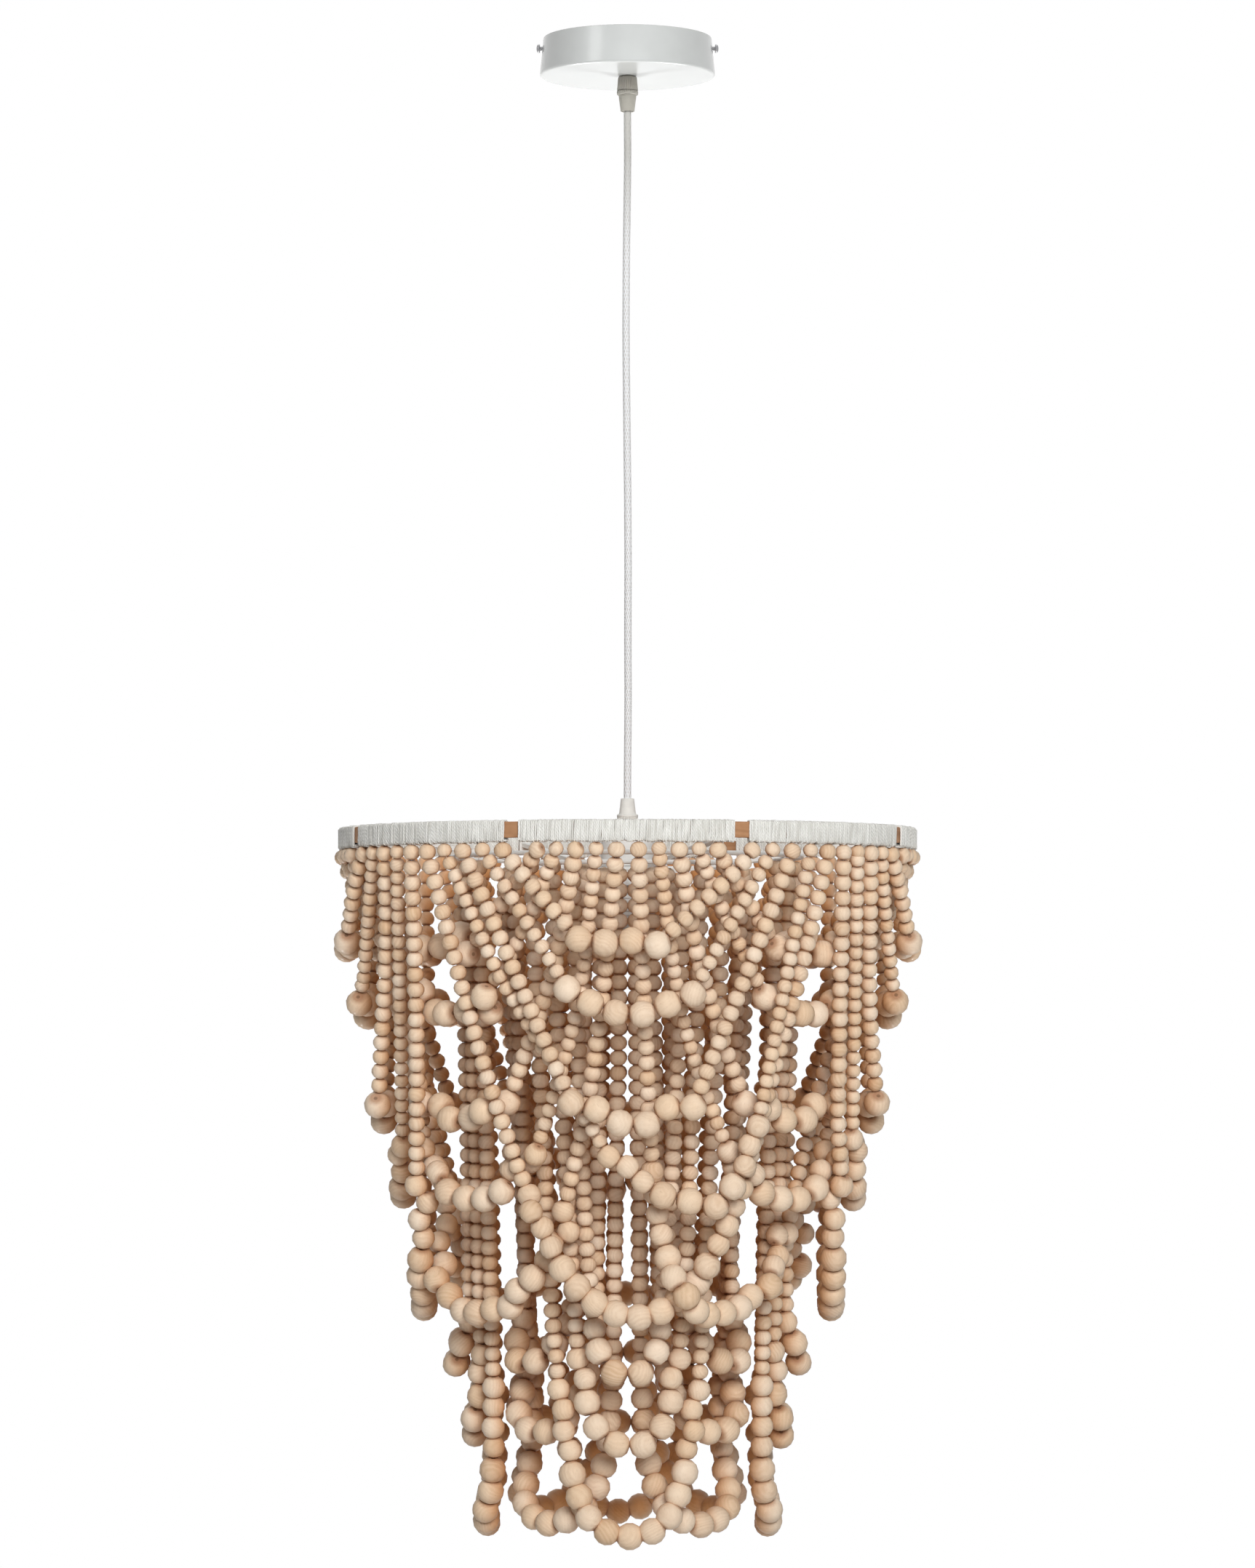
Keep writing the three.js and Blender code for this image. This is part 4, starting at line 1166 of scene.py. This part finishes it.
@dataclass
class Lampholder:
    """The cap, the threaded shell, the insert with its contact and the ring that clamps the frame."""

    sides: int = 72
    cap_wall: float = 1.6
    cap_hole: float = 5.2
    cap_shoulder: float = 10.0
    cap_rise: float = 8.0
    cap_angles: tuple[float, ...] = (80, 60, 40, 20, 0)
    cap_ease: float = 0.3
    shell_radius: float = 19.5
    shell_bore: float = 16.5
    shell_ease: float = 0.6
    flange_ease: float = 0.4
    flange_height: float = 2.6
    rib_height: float = 0.8
    rib_start: float = 18
    rib_pitch: float = 3
    rib_lead: float = 2
    rib_margin: float = 5
    rib_ease: float = 0.05
    rib_drops: tuple[float, float, float] = (0.9, 1.5, 2.3)
    socket_bore: float = 13.8
    socket_floor: float = 3
    mouth_ease: float = 0.4
    insert_ease: float = 0.3
    thread_lead: float = 1
    thread_margin: float = 3
    thread_height: float = 0.7
    thread_rise: float = 1.2
    thread_pitch: float = 2.6
    centre_radius: float = 0.6
    contact_radius: float = 4.4
    contact_ease: float = 0.2
    contact_depths: tuple[float, float] = (1.6, 1.9)
    clamp: Moulding = Moulding(
        "shade_ring", "ribbed_shade_ring", HOLDER_WHITE, Carrier.SHADE,
        ((19.8, 0), (26.2, 0), (27.0, 0.8)),
        ((27.0, 0.8), (26.2, 0), (19.8, 0)),
        (Flutes(2, 3, 0.7),), sides=160, crease=35,
    )

    def build(self) -> None:
        """Builds the four pieces."""
        self.piece("lampholder_cap", "lampholder_domed_cap", self.cap())
        self.piece("lampholder_shell", "lampholder_ribbed_shell", self.shell())
        self.piece("lampholder_insert", "lampholder_socket_insert", self.insert(), closed=False)
        self.clamp.build()

    def piece(self, node: str, title: str, outline: Outline, closed: bool = True) -> None:
        """Turns and dresses one piece from its node's name, its title and its outline."""
        finished(turned(title, outline, self.sides, closed), HOLDER_WHITE, Carrier.SHADE, node)

    def cap(self) -> Outline:
        """The outline of the domed cap with a hole for the grip's stem.

        Returns:
            Pairs of radius and height in millimetres.
        """
        bottom, top = ends("lampholder_cap")
        radius = reach("lampholder_cap")
        outer, inner = [], []
        for skin, inset in ((outer, 0), (inner, self.cap_wall)):
            for angle in map(math.radians, self.cap_angles):
                side = (radius - self.cap_shoulder - inset) * math.cos(angle)
                rise = (self.cap_rise - inset) * math.sin(angle)
                skin.append((self.cap_shoulder + side, top - self.cap_rise + rise))
        return [
            (self.cap_hole, top), *outer, (radius, bottom + self.cap_ease), (radius - self.cap_ease, bottom),
            (radius - self.cap_wall, bottom), *reversed(inner), (self.cap_hole, top - self.cap_wall),
        ]

    def shell(self) -> Outline:
        """The outline of the shell, with a flange and the coarse ribs that the shade ring screws onto.

        Returns:
            Pairs of radius and height in millimetres.
        """
        bottom, top = ends("lampholder_shell")
        flange, root = reach("lampholder_shell"), self.shell_radius - self.rib_height
        ease, under = self.flange_ease, top - self.flange_height
        outline = [(self.shell_bore, top), (flange - ease, top), (flange, top - ease), (flange, under + ease)]
        outline += [(flange - ease, under), (root, under), (root, top - self.rib_start + self.rib_lead)]
        height, crest = top - self.rib_start, self.shell_radius - self.rib_ease
        flat, flank, gap = self.rib_drops
        while height > bottom + self.rib_margin:
            outline += [(crest, height), (crest, height - flat), (root, height - flank), (root, height - gap)]
            height -= self.rib_pitch
        turn = self.shell_ease
        return [*outline, (root, bottom + turn), (root - turn, bottom), (self.shell_bore, bottom)]

    def insert(self) -> Outline:
        """The outline of the socket insert, a cup with a thread for the bulb's cap and a centre contact.

        Returns:
            Pairs of radius and height in millimetres.
        """
        bottom, top = ends("lampholder_insert")
        radius, bore, floor = reach("lampholder_insert"), self.socket_bore, top - self.socket_floor
        centre, contact, ease = self.centre_radius, self.contact_radius, self.insert_ease
        outline = [
            (centre, top), (radius, top), (radius, bottom + ease), (radius - ease, bottom),
            (bore + self.mouth_ease, bottom),
        ]
        height = bottom + self.thread_lead
        while height < floor - self.thread_margin:
            outline += [(bore, height), (bore + self.thread_height, height + self.thread_rise)]
            height += self.thread_pitch
        edge, middle = self.contact_depths
        return [
            *outline, (bore, floor), (contact, floor), (contact - self.contact_ease, floor - edge),
            (centre, floor - middle),
        ]


@dataclass
class HoopFrame:
    """The frame, the wooden hoop with yarn wound on it, and the two inner rings."""

    outer_radius: float = 199.3
    inner_radius: float = 195.9
    bottom: float = -561.9
    top: float = -551.2
    ease: float = 0.5
    hoop_sides: int = 288
    first_seed: int = 4100
    yarn_radius: float = 0.86
    yarn_pitch: float = 1.4
    yarn_length: float = 145.2
    yarn_slack: float = 1.3
    yarn_corner: float = 0.7
    yarn_sides: int = 6
    twist_pitch: float = 2.2
    drift_kept: float = 0.6
    drift: float = 0.12
    slack_swing: float = 0.35
    swells: tuple[float, float] = (0.85, 1.12)
    lifts: tuple[float, ...] = (0, 0, 0, 0.15, 0.3)
    sway: float = 0.07
    wobble: float = 0.05
    sag: float = 0.12
    lumps: tuple[float, float] = (0.93, 1.06)
    wire_radius: float = 1.6
    wire_segments: int = 180
    wire_sides: int = 12
    weld_reach: float = 4
    weld_swell: tuple[float, float, float] = (1, 1.08, 1.02)

    def build(self) -> None:
        """Builds the hoop, its yarn and the rings, and paints the frame."""
        repaint("hoop_frame", FRAME_PAINT)
        self.hoop()
        for index, panel in enumerate(PANELS):
            self.winding(index, panel)
        for node in ("inner_ring", "core_ring"):
            self.wire_ring(node)

    def hoop(self) -> None:
        """The bent wooden band, with its edges eased."""
        inner, outer, ease = self.inner_radius, self.outer_radius, self.ease
        outline = [
            (inner + ease, self.bottom), (outer - ease, self.bottom), (outer, self.bottom + ease),
            (outer, self.top - ease), (outer - ease, self.top), (inner + ease, self.top),
            (inner, self.top - ease), (inner, self.bottom + ease),
        ]
        finished(turned("bent_wood_hoop", outline, self.hoop_sides), HOOP_WOOD, Carrier.SHADE, "hoop")

    def yarn_loop(self) -> Outline:
        """One turn of yarn round the band.

        Returns:
            Pairs in millimetres: how far outside the band's middle each point lies, and its height.
        """
        out = (self.outer_radius - self.inner_radius) / 2 + self.yarn_radius
        low, high = self.bottom - self.yarn_radius - self.yarn_slack, self.top + self.yarn_radius / 2
        corner = self.yarn_corner
        return [
            (out, low + corner), (out, (low * 2 + high) / 3), (out, (low + high * 2) / 3),
            (out, high - corner), (out - corner, high), (corner - out, high), (-out, high - corner),
            (-out, (low + high) / 2), (-out, low + corner), (corner - out, low), (out - corner, low),
        ]

    def winding(self, index: int, panel: str) -> None:
        """One length of yarn, wound turn by turn round the hoop.

        Args:
            index: the panel's number from the front.
            panel: the panel's name.
        """
        random.seed(self.first_seed + index)
        middle = (self.inner_radius + self.outer_radius) / 2
        centre = index * FULL_TURN / len(PANELS) - FULL_TURN / 4
        half = self.yarn_length / middle / 2
        turns = round(self.yarn_length / self.yarn_pitch)
        loop = self.yarn_loop()
        line, radii = [], []
        drift = 0.0
        for turn in range(turns):
            drift = self.drift_kept * drift + random.gauss(0, self.drift)
            slack = random.gauss(0, self.slack_swing)
            swell = random.uniform(*self.swells)
            lift = random.choice(self.lifts)
            for step, (reach_out, height) in enumerate(loop):
                share = (turn + step / len(loop)) / turns
                sway = (drift + random.gauss(0, self.sway)) / middle
                angle = centre - half + 2 * half * share + sway
                radius = middle + reach_out + math.copysign(lift, reach_out) + random.gauss(0, self.wobble)
                sag = random.gauss(0, self.sag) + (slack if height < self.bottom else 0)
                line.append((radius * math.cos(angle), radius * math.sin(angle), height + sag))
                radii.append(self.yarn_radius * swell * random.uniform(*self.lumps))
        piece = strand(
            f"wound_yarn_{panel}", np.array(line) * MILLIMETRE, np.array(radii) * MILLIMETRE, self.yarn_sides,
            self.twist_pitch * MILLIMETRE,
        )
        finished(piece, YARN, Carrier.SHADE, f"yarn_{panel}", crease=80)

    def wire_ring(self, node: str) -> None:
        """One round ring of painted wire, a little swollen where its ends were welded together.

        Args:
            node: the CAD node that it stands for.
        """
        height = sum(ends(node)) / 2 * MILLIMETRE
        radius = (reach(node) - self.wire_radius) * MILLIMETRE
        bpy.ops.object.select_all(action="DESELECT")
        bpy.ops.mesh.primitive_torus_add(
            major_radius=radius, minor_radius=self.wire_radius * MILLIMETRE,
            major_segments=self.wire_segments, minor_segments=self.wire_sides, location=(0, 0, height),
        )
        piece = bpy.context.object
        bpy.ops.object.transform_apply(location=True, rotation=False, scale=False)
        piece.name = f"{node}_wire"
        weld = Vector((0, radius, height))
        for vertex in piece.data.vertices:
            vertex.select = (vertex.co - weld).length < self.weld_reach * MILLIMETRE
        alone(piece)
        bpy.ops.object.mode_set(mode="EDIT")
        bpy.context.tool_settings.mesh_select_mode = (True, False, False)
        bpy.ops.transform.resize(value=self.weld_swell, center_override=tuple(weld))
        bpy.ops.object.mode_set(mode="OBJECT")
        finished(piece, FRAME_PAINT, Carrier.SHADE, node, crease=60)


# The bead strings


@dataclass(frozen=True)
class BeadSize:
    """One of the four sizes of bead, and the share of its radius that the CAD string's ring has."""

    diameter: float
    ring_share: float
    tolerance: float = 0.12

    def fits(self, radius: float) -> bool:
        """Whether a ring of the CAD string, of this radius in millimetres, belongs to this size."""
        return abs(radius - self.diameter / 2 * self.ring_share) < self.tolerance


@dataclass(frozen=True)
class Bead:
    """One bead: where it is, how large it is and the way its hole points."""

    place: np.ndarray
    diameter: float
    along: np.ndarray


@dataclass
class BeadStrings:
    """All the strings: beads set along the lines of the CAD strings, on their threads."""

    levels: tuple[str, ...] = ("upper", "middle", "lower", "inner")
    sizes: tuple[BeadSize, ...] = (
        BeadSize(10.2, 0.86), BeadSize(11.6, 0.86), BeadSize(16.0, 0.86), BeadSize(18.6, 1.0),
    )
    first_seed: int = 900
    small_sides: int = 10
    small_half: Outline = ((0.12, 0.8), (0.4, 0.87), (0.8, 0.6), (1.0, 0.2))
    large_sides: int = 14
    large_half: Outline = ((0.1, 0.86), (0.34, 0.93), (0.74, 0.68), (0.97, 0.24))
    large_from: float = 15.0
    pitch_share: float = 0.9
    curve_steps: int = 12
    far_share: float = 1.3
    end_lean: Place = (0.1, 0.1, 1)
    scale_shares: tuple[float, float] = (0.99, 1.035)
    hole_share: float = 0.2
    flat_share: float = 0.5
    grain_lean: Place = (1, 1, 2)
    grain_offset: float = 5
    tone: tuple[float, float] = (0.62, 0.24)
    warmth_power: float = 1.4
    # How strong the painted inner shade is, how it turns with the side that faces the axis, and how it
    # deepens inside the strings.
    inner_shade_level: float = 0.3
    inner_shade_turn: float = 0.7
    inner_shade_depth: float = 0.5
    thread_radius: float = 0.32
    thread_sides: int = 5
    thread_pitch: float = 2
    thread_most: float = 1
    weld_step: float = 0.002
    tip_depth: float = 0.02
    tip_width: float = 3
    # The outline of the strings, from which the depth of the painted inner shade is measured.
    outer_reach: float = 0.2
    lower_reach: float = 0.11
    reach_top: float = -0.56
    reach_drop: float = -0.47

    def build(self) -> None:
        """Builds one piece for every string."""
        small = self.bead_form("small_bead_form", self.small_sides, self.small_half)
        large = self.bead_form("large_bead_form", self.large_sides, self.large_half)
        for panel_index, panel in enumerate(PANELS):
            for level_index, level in enumerate(self.levels):
                random.seed(self.first_seed + 10 * panel_index + level_index)
                self.string(f"beads_{panel}_{level}", small, large)
        for form in (small, large):
            bpy.data.objects.remove(form)

    def bead_form(self, name: str, sides: int, half: Outline) -> bpy.types.Object:
        """The form of a bead of radius 1, round its hole along Z: a ball with flats and a recess at its ends.

        Args:
            name: the form's name.
            sides: points round it.
            half: radius and height of the rings from one hole to the middle.

        Returns:
            The form, which is copied and then removed.
        """
        lower = [(radius / MILLIMETRE, -height / MILLIMETRE) for radius, height in half]
        upper = [(radius, -height) for radius, height in reversed(lower)]
        return turned(name, lower + upper, sides, closed=False)

    def rings(self, node: str) -> list[tuple[np.ndarray, float]]:
        """The rings of a CAD string from one end to the other, as its faces join them.

        Args:
            node: the string's CAD node.

        Returns:
            The centre in metres and the radius in millimetres of each ring.
        """
        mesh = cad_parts[node].data
        places, number, key_of = [], {}, []
        for vertex in mesh.vertices:
            key = tuple(round(value / (self.weld_step * MILLIMETRE)) for value in vertex.co)
            if key not in number:
                number[key] = len(places)
                places.append(np.array(vertex.co))
            key_of.append(number[key])
        beside = [set() for _ in places]
        for face in mesh.polygons:
            corners = [key_of[index] for index in face.vertices]
            for corner in corners:
                beside[corner].update(corners)
        highest = max(place[2] for place in places) - self.tip_depth * MILLIMETRE
        tips = [index for index, place in enumerate(places) if place[2] > highest]
        width = self.tip_width * MILLIMETRE
        layer = [index for index in tips if np.linalg.norm(places[index] - places[tips[0]]) < width]
        found, seen = [], set(layer)
        while layer:
            centre = np.mean([places[index] for index in layer], axis=0)
            radius = float(np.mean([np.linalg.norm(places[index] - centre) for index in layer]))
            found.append((centre, radius / MILLIMETRE))
            layer = [index for index in set().union(*(beside[at] for at in layer)) if index not in seen]
            seen.update(layer)
        return found

    def beads(self, rings: list[tuple[np.ndarray, float]]) -> list[Bead]:
        """The beads that a string's rings stand for.

        Args:
            rings: the centre and radius of each ring.

        Returns:
            The beads in order.
        """
        marks = []
        for centre, radius in rings:
            size = next((size.diameter for size in self.sizes if size.fits(radius)), 0.0)
            if size or radius < self.thread_most:
                marks.append((centre, size))
        placed = []
        for size, run in itertools.groupby(marks, key=lambda mark: mark[1]):
            if size:
                placed += [(place, size) for place in self.spaced([centre for centre, _ in run], size)]
        beads = []
        last = len(placed) - 1
        for index, (place, size) in enumerate(placed):
            back = place - placed[max(index - 1, 0)][0]
            ahead = placed[min(index + 1, last)][0] - place
            far = self.far_share * size * MILLIMETRE
            if index == 0 or np.linalg.norm(ahead) < far < np.linalg.norm(back):
                back = ahead
            if index == last or np.linalg.norm(ahead) > far:
                ahead = back
            along = back / np.linalg.norm(back) + ahead / np.linalg.norm(ahead)
            if index in (0, last):
                along = along * self.end_lean
            beads.append(Bead(place, size, along / np.linalg.norm(along)))
        return beads

    def spaced(self, knots: list[np.ndarray], size: float) -> list[np.ndarray]:
        """Places beads of one size evenly along the smooth curve through some knots.

        Args:
            knots: the middles of some beads of one run, its first and its last among them.
            size: the diameter of the beads in millimetres.

        Returns:
            The middle of every bead of the run.
        """
        if len(knots) == 1:
            return knots
        curve = smooth_curve(np.array(knots), self.curve_steps)
        whole = run_along(curve)[-1]
        gaps = max(1, round(whole / MILLIMETRE / (size * self.pitch_share)))
        return list(points_at(np.linspace(0, whole, gaps + 1), curve))

    def string(self, node: str, small: bpy.types.Object, large: bpy.types.Object) -> None:
        """One string, with a copy of the bead form for every bead.

        Args:
            node: the CAD node that it stands for.
            small: the form of the small beads.
            large: the form of the large beads.
        """
        rings = self.rings(node)
        forms = {False: self.form_data(small), True: self.form_data(large)}
        points, faces = [], []
        marks = {f"bead_{part}": [] for part in ("place", "tone", "warmth", "end", "shelter")}
        base = 0
        for bead in self.beads(rings):
            shape, form_faces, nearness = forms[bead.diameter > self.large_from]
            scale = bead.diameter / 2 * MILLIMETRE * random.uniform(*self.scale_shares)
            turn = self.turn_to(bead.along)
            local = shape * scale
            set_in = local @ turn.T
            points.append(set_in + bead.place)
            faces += [tuple(index + base for index in face) for face in form_faces]
            base += len(shape)
            grain_turn = self.turn_to(np.array([random.gauss(0, spread) for spread in self.grain_lean]))
            offset = np.array([random.uniform(0, self.grain_offset) for _ in range(3)])
            marks["bead_place"].append(local @ grain_turn.T + offset)
            marks["bead_tone"].append(np.full(len(shape), min(1, max(0, random.gauss(*self.tone)))))
            marks["bead_warmth"].append(np.full(len(shape), random.random() ** self.warmth_power))
            marks["bead_end"].append(nearness)
            # Painted shade on each point of the bead, by the way it faces and how deep it hangs.
            marks["bead_shelter"].append(self.shelter(bead.place, set_in / scale))
        piece = mesh_piece(f"{node}_strung", np.vstack(points), faces)
        for name, values in marks.items():
            joined = np.concatenate(values)
            kind, key = ("FLOAT_VECTOR", "vector") if joined.ndim > 1 else ("FLOAT", "value")
            piece.data.attributes.new(name, kind, "POINT").data.foreach_set(key, joined.ravel())
        piece.data.materials.append(BEAD_WOOD.material())
        self.add_thread(piece, np.array([centre for centre, _ in rings]))
        finished(piece, BEAD_WOOD, Carrier.SHADE, node, crease=75)

    def shelter(self, place: np.ndarray, outward: np.ndarray) -> np.ndarray:
        """How much painted shade each point of a bead gets, standing for the shade that the strings round it
        cast.

        Args:
            place: the bead's middle.
            outward: the direction from its middle to each point.

        Returns:
            0 for a point that faces out at the outside of the shade, up to 1 for one that faces its axis.
        """
        radius = math.hypot(place[0], place[1])
        drop_share = (place[2] - self.reach_top) / self.reach_drop
        widest = self.outer_reach + (self.lower_reach - self.outer_reach) * drop_share
        facing = (outward[:, 0] * place[0] + outward[:, 1] * place[1]) / radius
        depth = min(1.0, max(0.0, (widest - radius) / widest))
        return np.clip(self.inner_shade_level - self.inner_shade_turn * facing + self.inner_shade_depth * depth, 0, 1)

    def form_data(self, form: bpy.types.Object) -> tuple[np.ndarray, list[tuple[int, ...]], np.ndarray]:
        """The points and faces of a bead form, and how near each point is to the hole.

        Args:
            form: the form.

        Returns:
            Its points, its faces, and for each point 1 in the hole, a half round it and 0 elsewhere.
        """
        shape = np.array([vertex.co for vertex in form.data.vertices])
        faces = [tuple(face.vertices) for face in form.data.polygons]
        radii = np.hypot(shape[:, 0], shape[:, 1])
        nearness = np.where(radii < self.hole_share, 1.0, np.where(radii < self.flat_share, 0.5, 0.0))
        return shape, faces, nearness

    def turn_to(self, along: np.ndarray) -> np.ndarray:
        """A turn that brings Z to a direction, with a chance spin about it.

        Args:
            along: the direction.

        Returns:
            The 3 by 3 matrix.
        """
        lean = Vector(along).to_track_quat("Z", "Y").to_matrix()
        angle = random.uniform(0, FULL_TURN)
        sine, cosine = math.sin(angle), math.cos(angle)
        return np.array(lean) @ np.array([[cosine, -sine, 0], [sine, cosine, 0], [0, 0, 1]])

    def add_thread(self, piece: bpy.types.Object, line: np.ndarray) -> None:
        """Runs the thread through the beads and joins it to the string.

        Args:
            piece: the string's beads.
            line: the points of the thread in metres.
        """
        radii = np.full(len(line), self.thread_radius * MILLIMETRE)
        thread = strand("thread", line, radii, self.thread_sides, self.thread_pitch * MILLIMETRE)
        thread.data.materials.append(THREAD.material())
        alone(piece)
        thread.select_set(True)
        bpy.ops.object.join()


# The studio


@dataclass(frozen=True)
class Softbox:
    """A square lamp that faces a point, with its side in metres, its watts and its spread in degrees."""

    name: str
    place: Place
    aim: Place
    side: float
    power: float
    spread: float = 180
    glossy: bool = True

    def build(self) -> None:
        """Sets up the lamp. One that isn't glossy is polarised, so that it leaves no gloss."""
        light = bpy.data.lights.new(self.name, "AREA")
        light.shape = "SQUARE"
        light.size = self.side
        light.energy = self.power
        light.spread = math.radians(self.spread)
        lamp = bpy.data.objects.new(self.name, light)
        bpy.context.scene.collection.objects.link(lamp)
        lamp.location = self.place
        lamp.visible_camera = False
        lamp.visible_glossy = self.glossy
        lamp.rotation_euler = (Vector(self.aim) - Vector(self.place)).to_track_quat("-Z", "Y").to_euler()


@dataclass
class Studio:
    """The camera, the lamps, the floor and the white surround."""

    image_height: int = 2156
    distance: float = 3.93
    eye_height: float = -0.6807
    metres_to_a_pixel: float = 0.000506
    eye_row: float = 1398
    sensor: float = 36
    floor_height: float = -2.2
    floor_side: float = 14
    floor_grey: float = 0.86
    floor_glow: float = 0.7
    room_level: float = 0.035
    room_tint: Colour = (1, 0.86, 0.7)
    lamps: tuple[Softbox, ...] = (
        Softbox("key_softbox", (0.5, -3.08, 0.35), (0, 0, -0.75), 1.6, 98, glossy=False),
        Softbox("fill_softbox", (-2.1, -2.1, 1.1), (0, 0, -0.3), 0.9, 9),
        Softbox("top_softbox", (0.2, 0.6, 1.6), (0, 0, -0.7), 1.8, 11),
        Softbox("back_softbox", (-0.6, 2.8, 0.3), (0, 0, -0.75), 2.2, 34, glossy=False),
        Softbox("rose_softbox_left", (-0.8, 0.8, -1.9), (0, 0, 0), 0.45, 0.5, 18),
        Softbox("rose_softbox_right", (0.8, 0.8, -1.9), (0, 0, 0), 0.45, 0.5, 18),
    )

    def build(self) -> None:
        """Sets up the view and the light."""
        scene = bpy.context.scene
        scene.view_settings.view_transform = "Standard"
        self.camera(scene)
        self.surround(scene)
        self.floor()
        for lamp in self.lamps:
            lamp.build()

    def camera(self, scene: bpy.types.Scene) -> None:
        """The camera, level at the photographed height and distance, with its lens raised.

        Args:
            scene: the scene that it serves.
        """
        lens = bpy.data.cameras.new("studio_camera")
        lens.sensor_fit = "VERTICAL"
        lens.sensor_height = self.sensor
        lens.lens = self.distance / self.metres_to_a_pixel / self.image_height * self.sensor
        lens.shift_y = (self.eye_row - self.image_height / 2) / self.image_height
        view = bpy.data.objects.new("studio_camera", lens)
        scene.collection.objects.link(view)
        view.location = (0, -self.distance, self.eye_height)
        view.rotation_euler = (FULL_TURN / 4, 0, 0)
        scene.camera = view

    def surround(self, scene: bpy.types.Scene) -> None:
        """A white surround for the camera and the gloss, and a faint warm light for the rest.

        Args:
            scene: the scene that it serves.
        """
        world = bpy.data.worlds.new("white_surround")
        world.use_nodes = True
        world.node_tree.nodes.clear()
        desk = NodeDesk(world.node_tree)
        seen = self.seen(desk)
        colour = desk.blend(seen, self.room_tint, (1, 1, 1))
        level = desk.spread(seen, 0, 1, self.room_level, 1)
        light = desk.result("Background", "Background", Color=colour, Strength=level)
        desk.feed(desk.add("OutputWorld").inputs["Surface"], light)
        scene.world = world

    def seen(self, desk: NodeDesk) -> object:
        """Whether a surface is seen, by the camera, in gloss or through glass, and doesn't only give light.

        Args:
            desk: the material's or the world's desk.

        Returns:
            The socket, which gives 1 if it is.
        """
        rays = desk.add("LightPath")
        shown = desk.calc("MAXIMUM", rays.outputs["Is Camera Ray"], rays.outputs["Is Glossy Ray"])
        return desk.calc("MAXIMUM", shown, rays.outputs["Is Transmission Ray"])

    def floor(self) -> None:
        """A wide pale floor well below the lamp, which keeps the lamp's shadow."""
        bpy.ops.object.select_all(action="DESELECT")
        bpy.ops.mesh.primitive_plane_add(size=self.floor_side, location=(0, 0, self.floor_height))
        plane = bpy.context.object
        plane.name = "studio_floor"
        paint = bpy.data.materials.new("Pale studio floor")
        paint.use_nodes = True
        desk = NodeDesk(paint.node_tree, gives=paint.node_tree.nodes["Principled BSDF"].inputs)
        desk.give(
            Base_Color=(self.floor_grey, self.floor_grey, self.floor_grey, 1),
            Roughness=0.8,
            Emission_Color=(1, 1, 1, 1),
            Emission_Strength=desk.spread(self.seen(desk), 0, 1, 0, self.floor_glow),
        )
        plane.data.materials.append(paint)


def main() -> None:
    """Builds the chandelier and its studio in order."""
    logging.basicConfig(level=logging.INFO, format="%(name)s %(message)s")
    for part in (Studio(), PowerCord(), CeilingRose(), CordGrips(), Lampholder(), HoopFrame(), BeadStrings()):
        part.build()


if __name__ == "__main__":
    main()
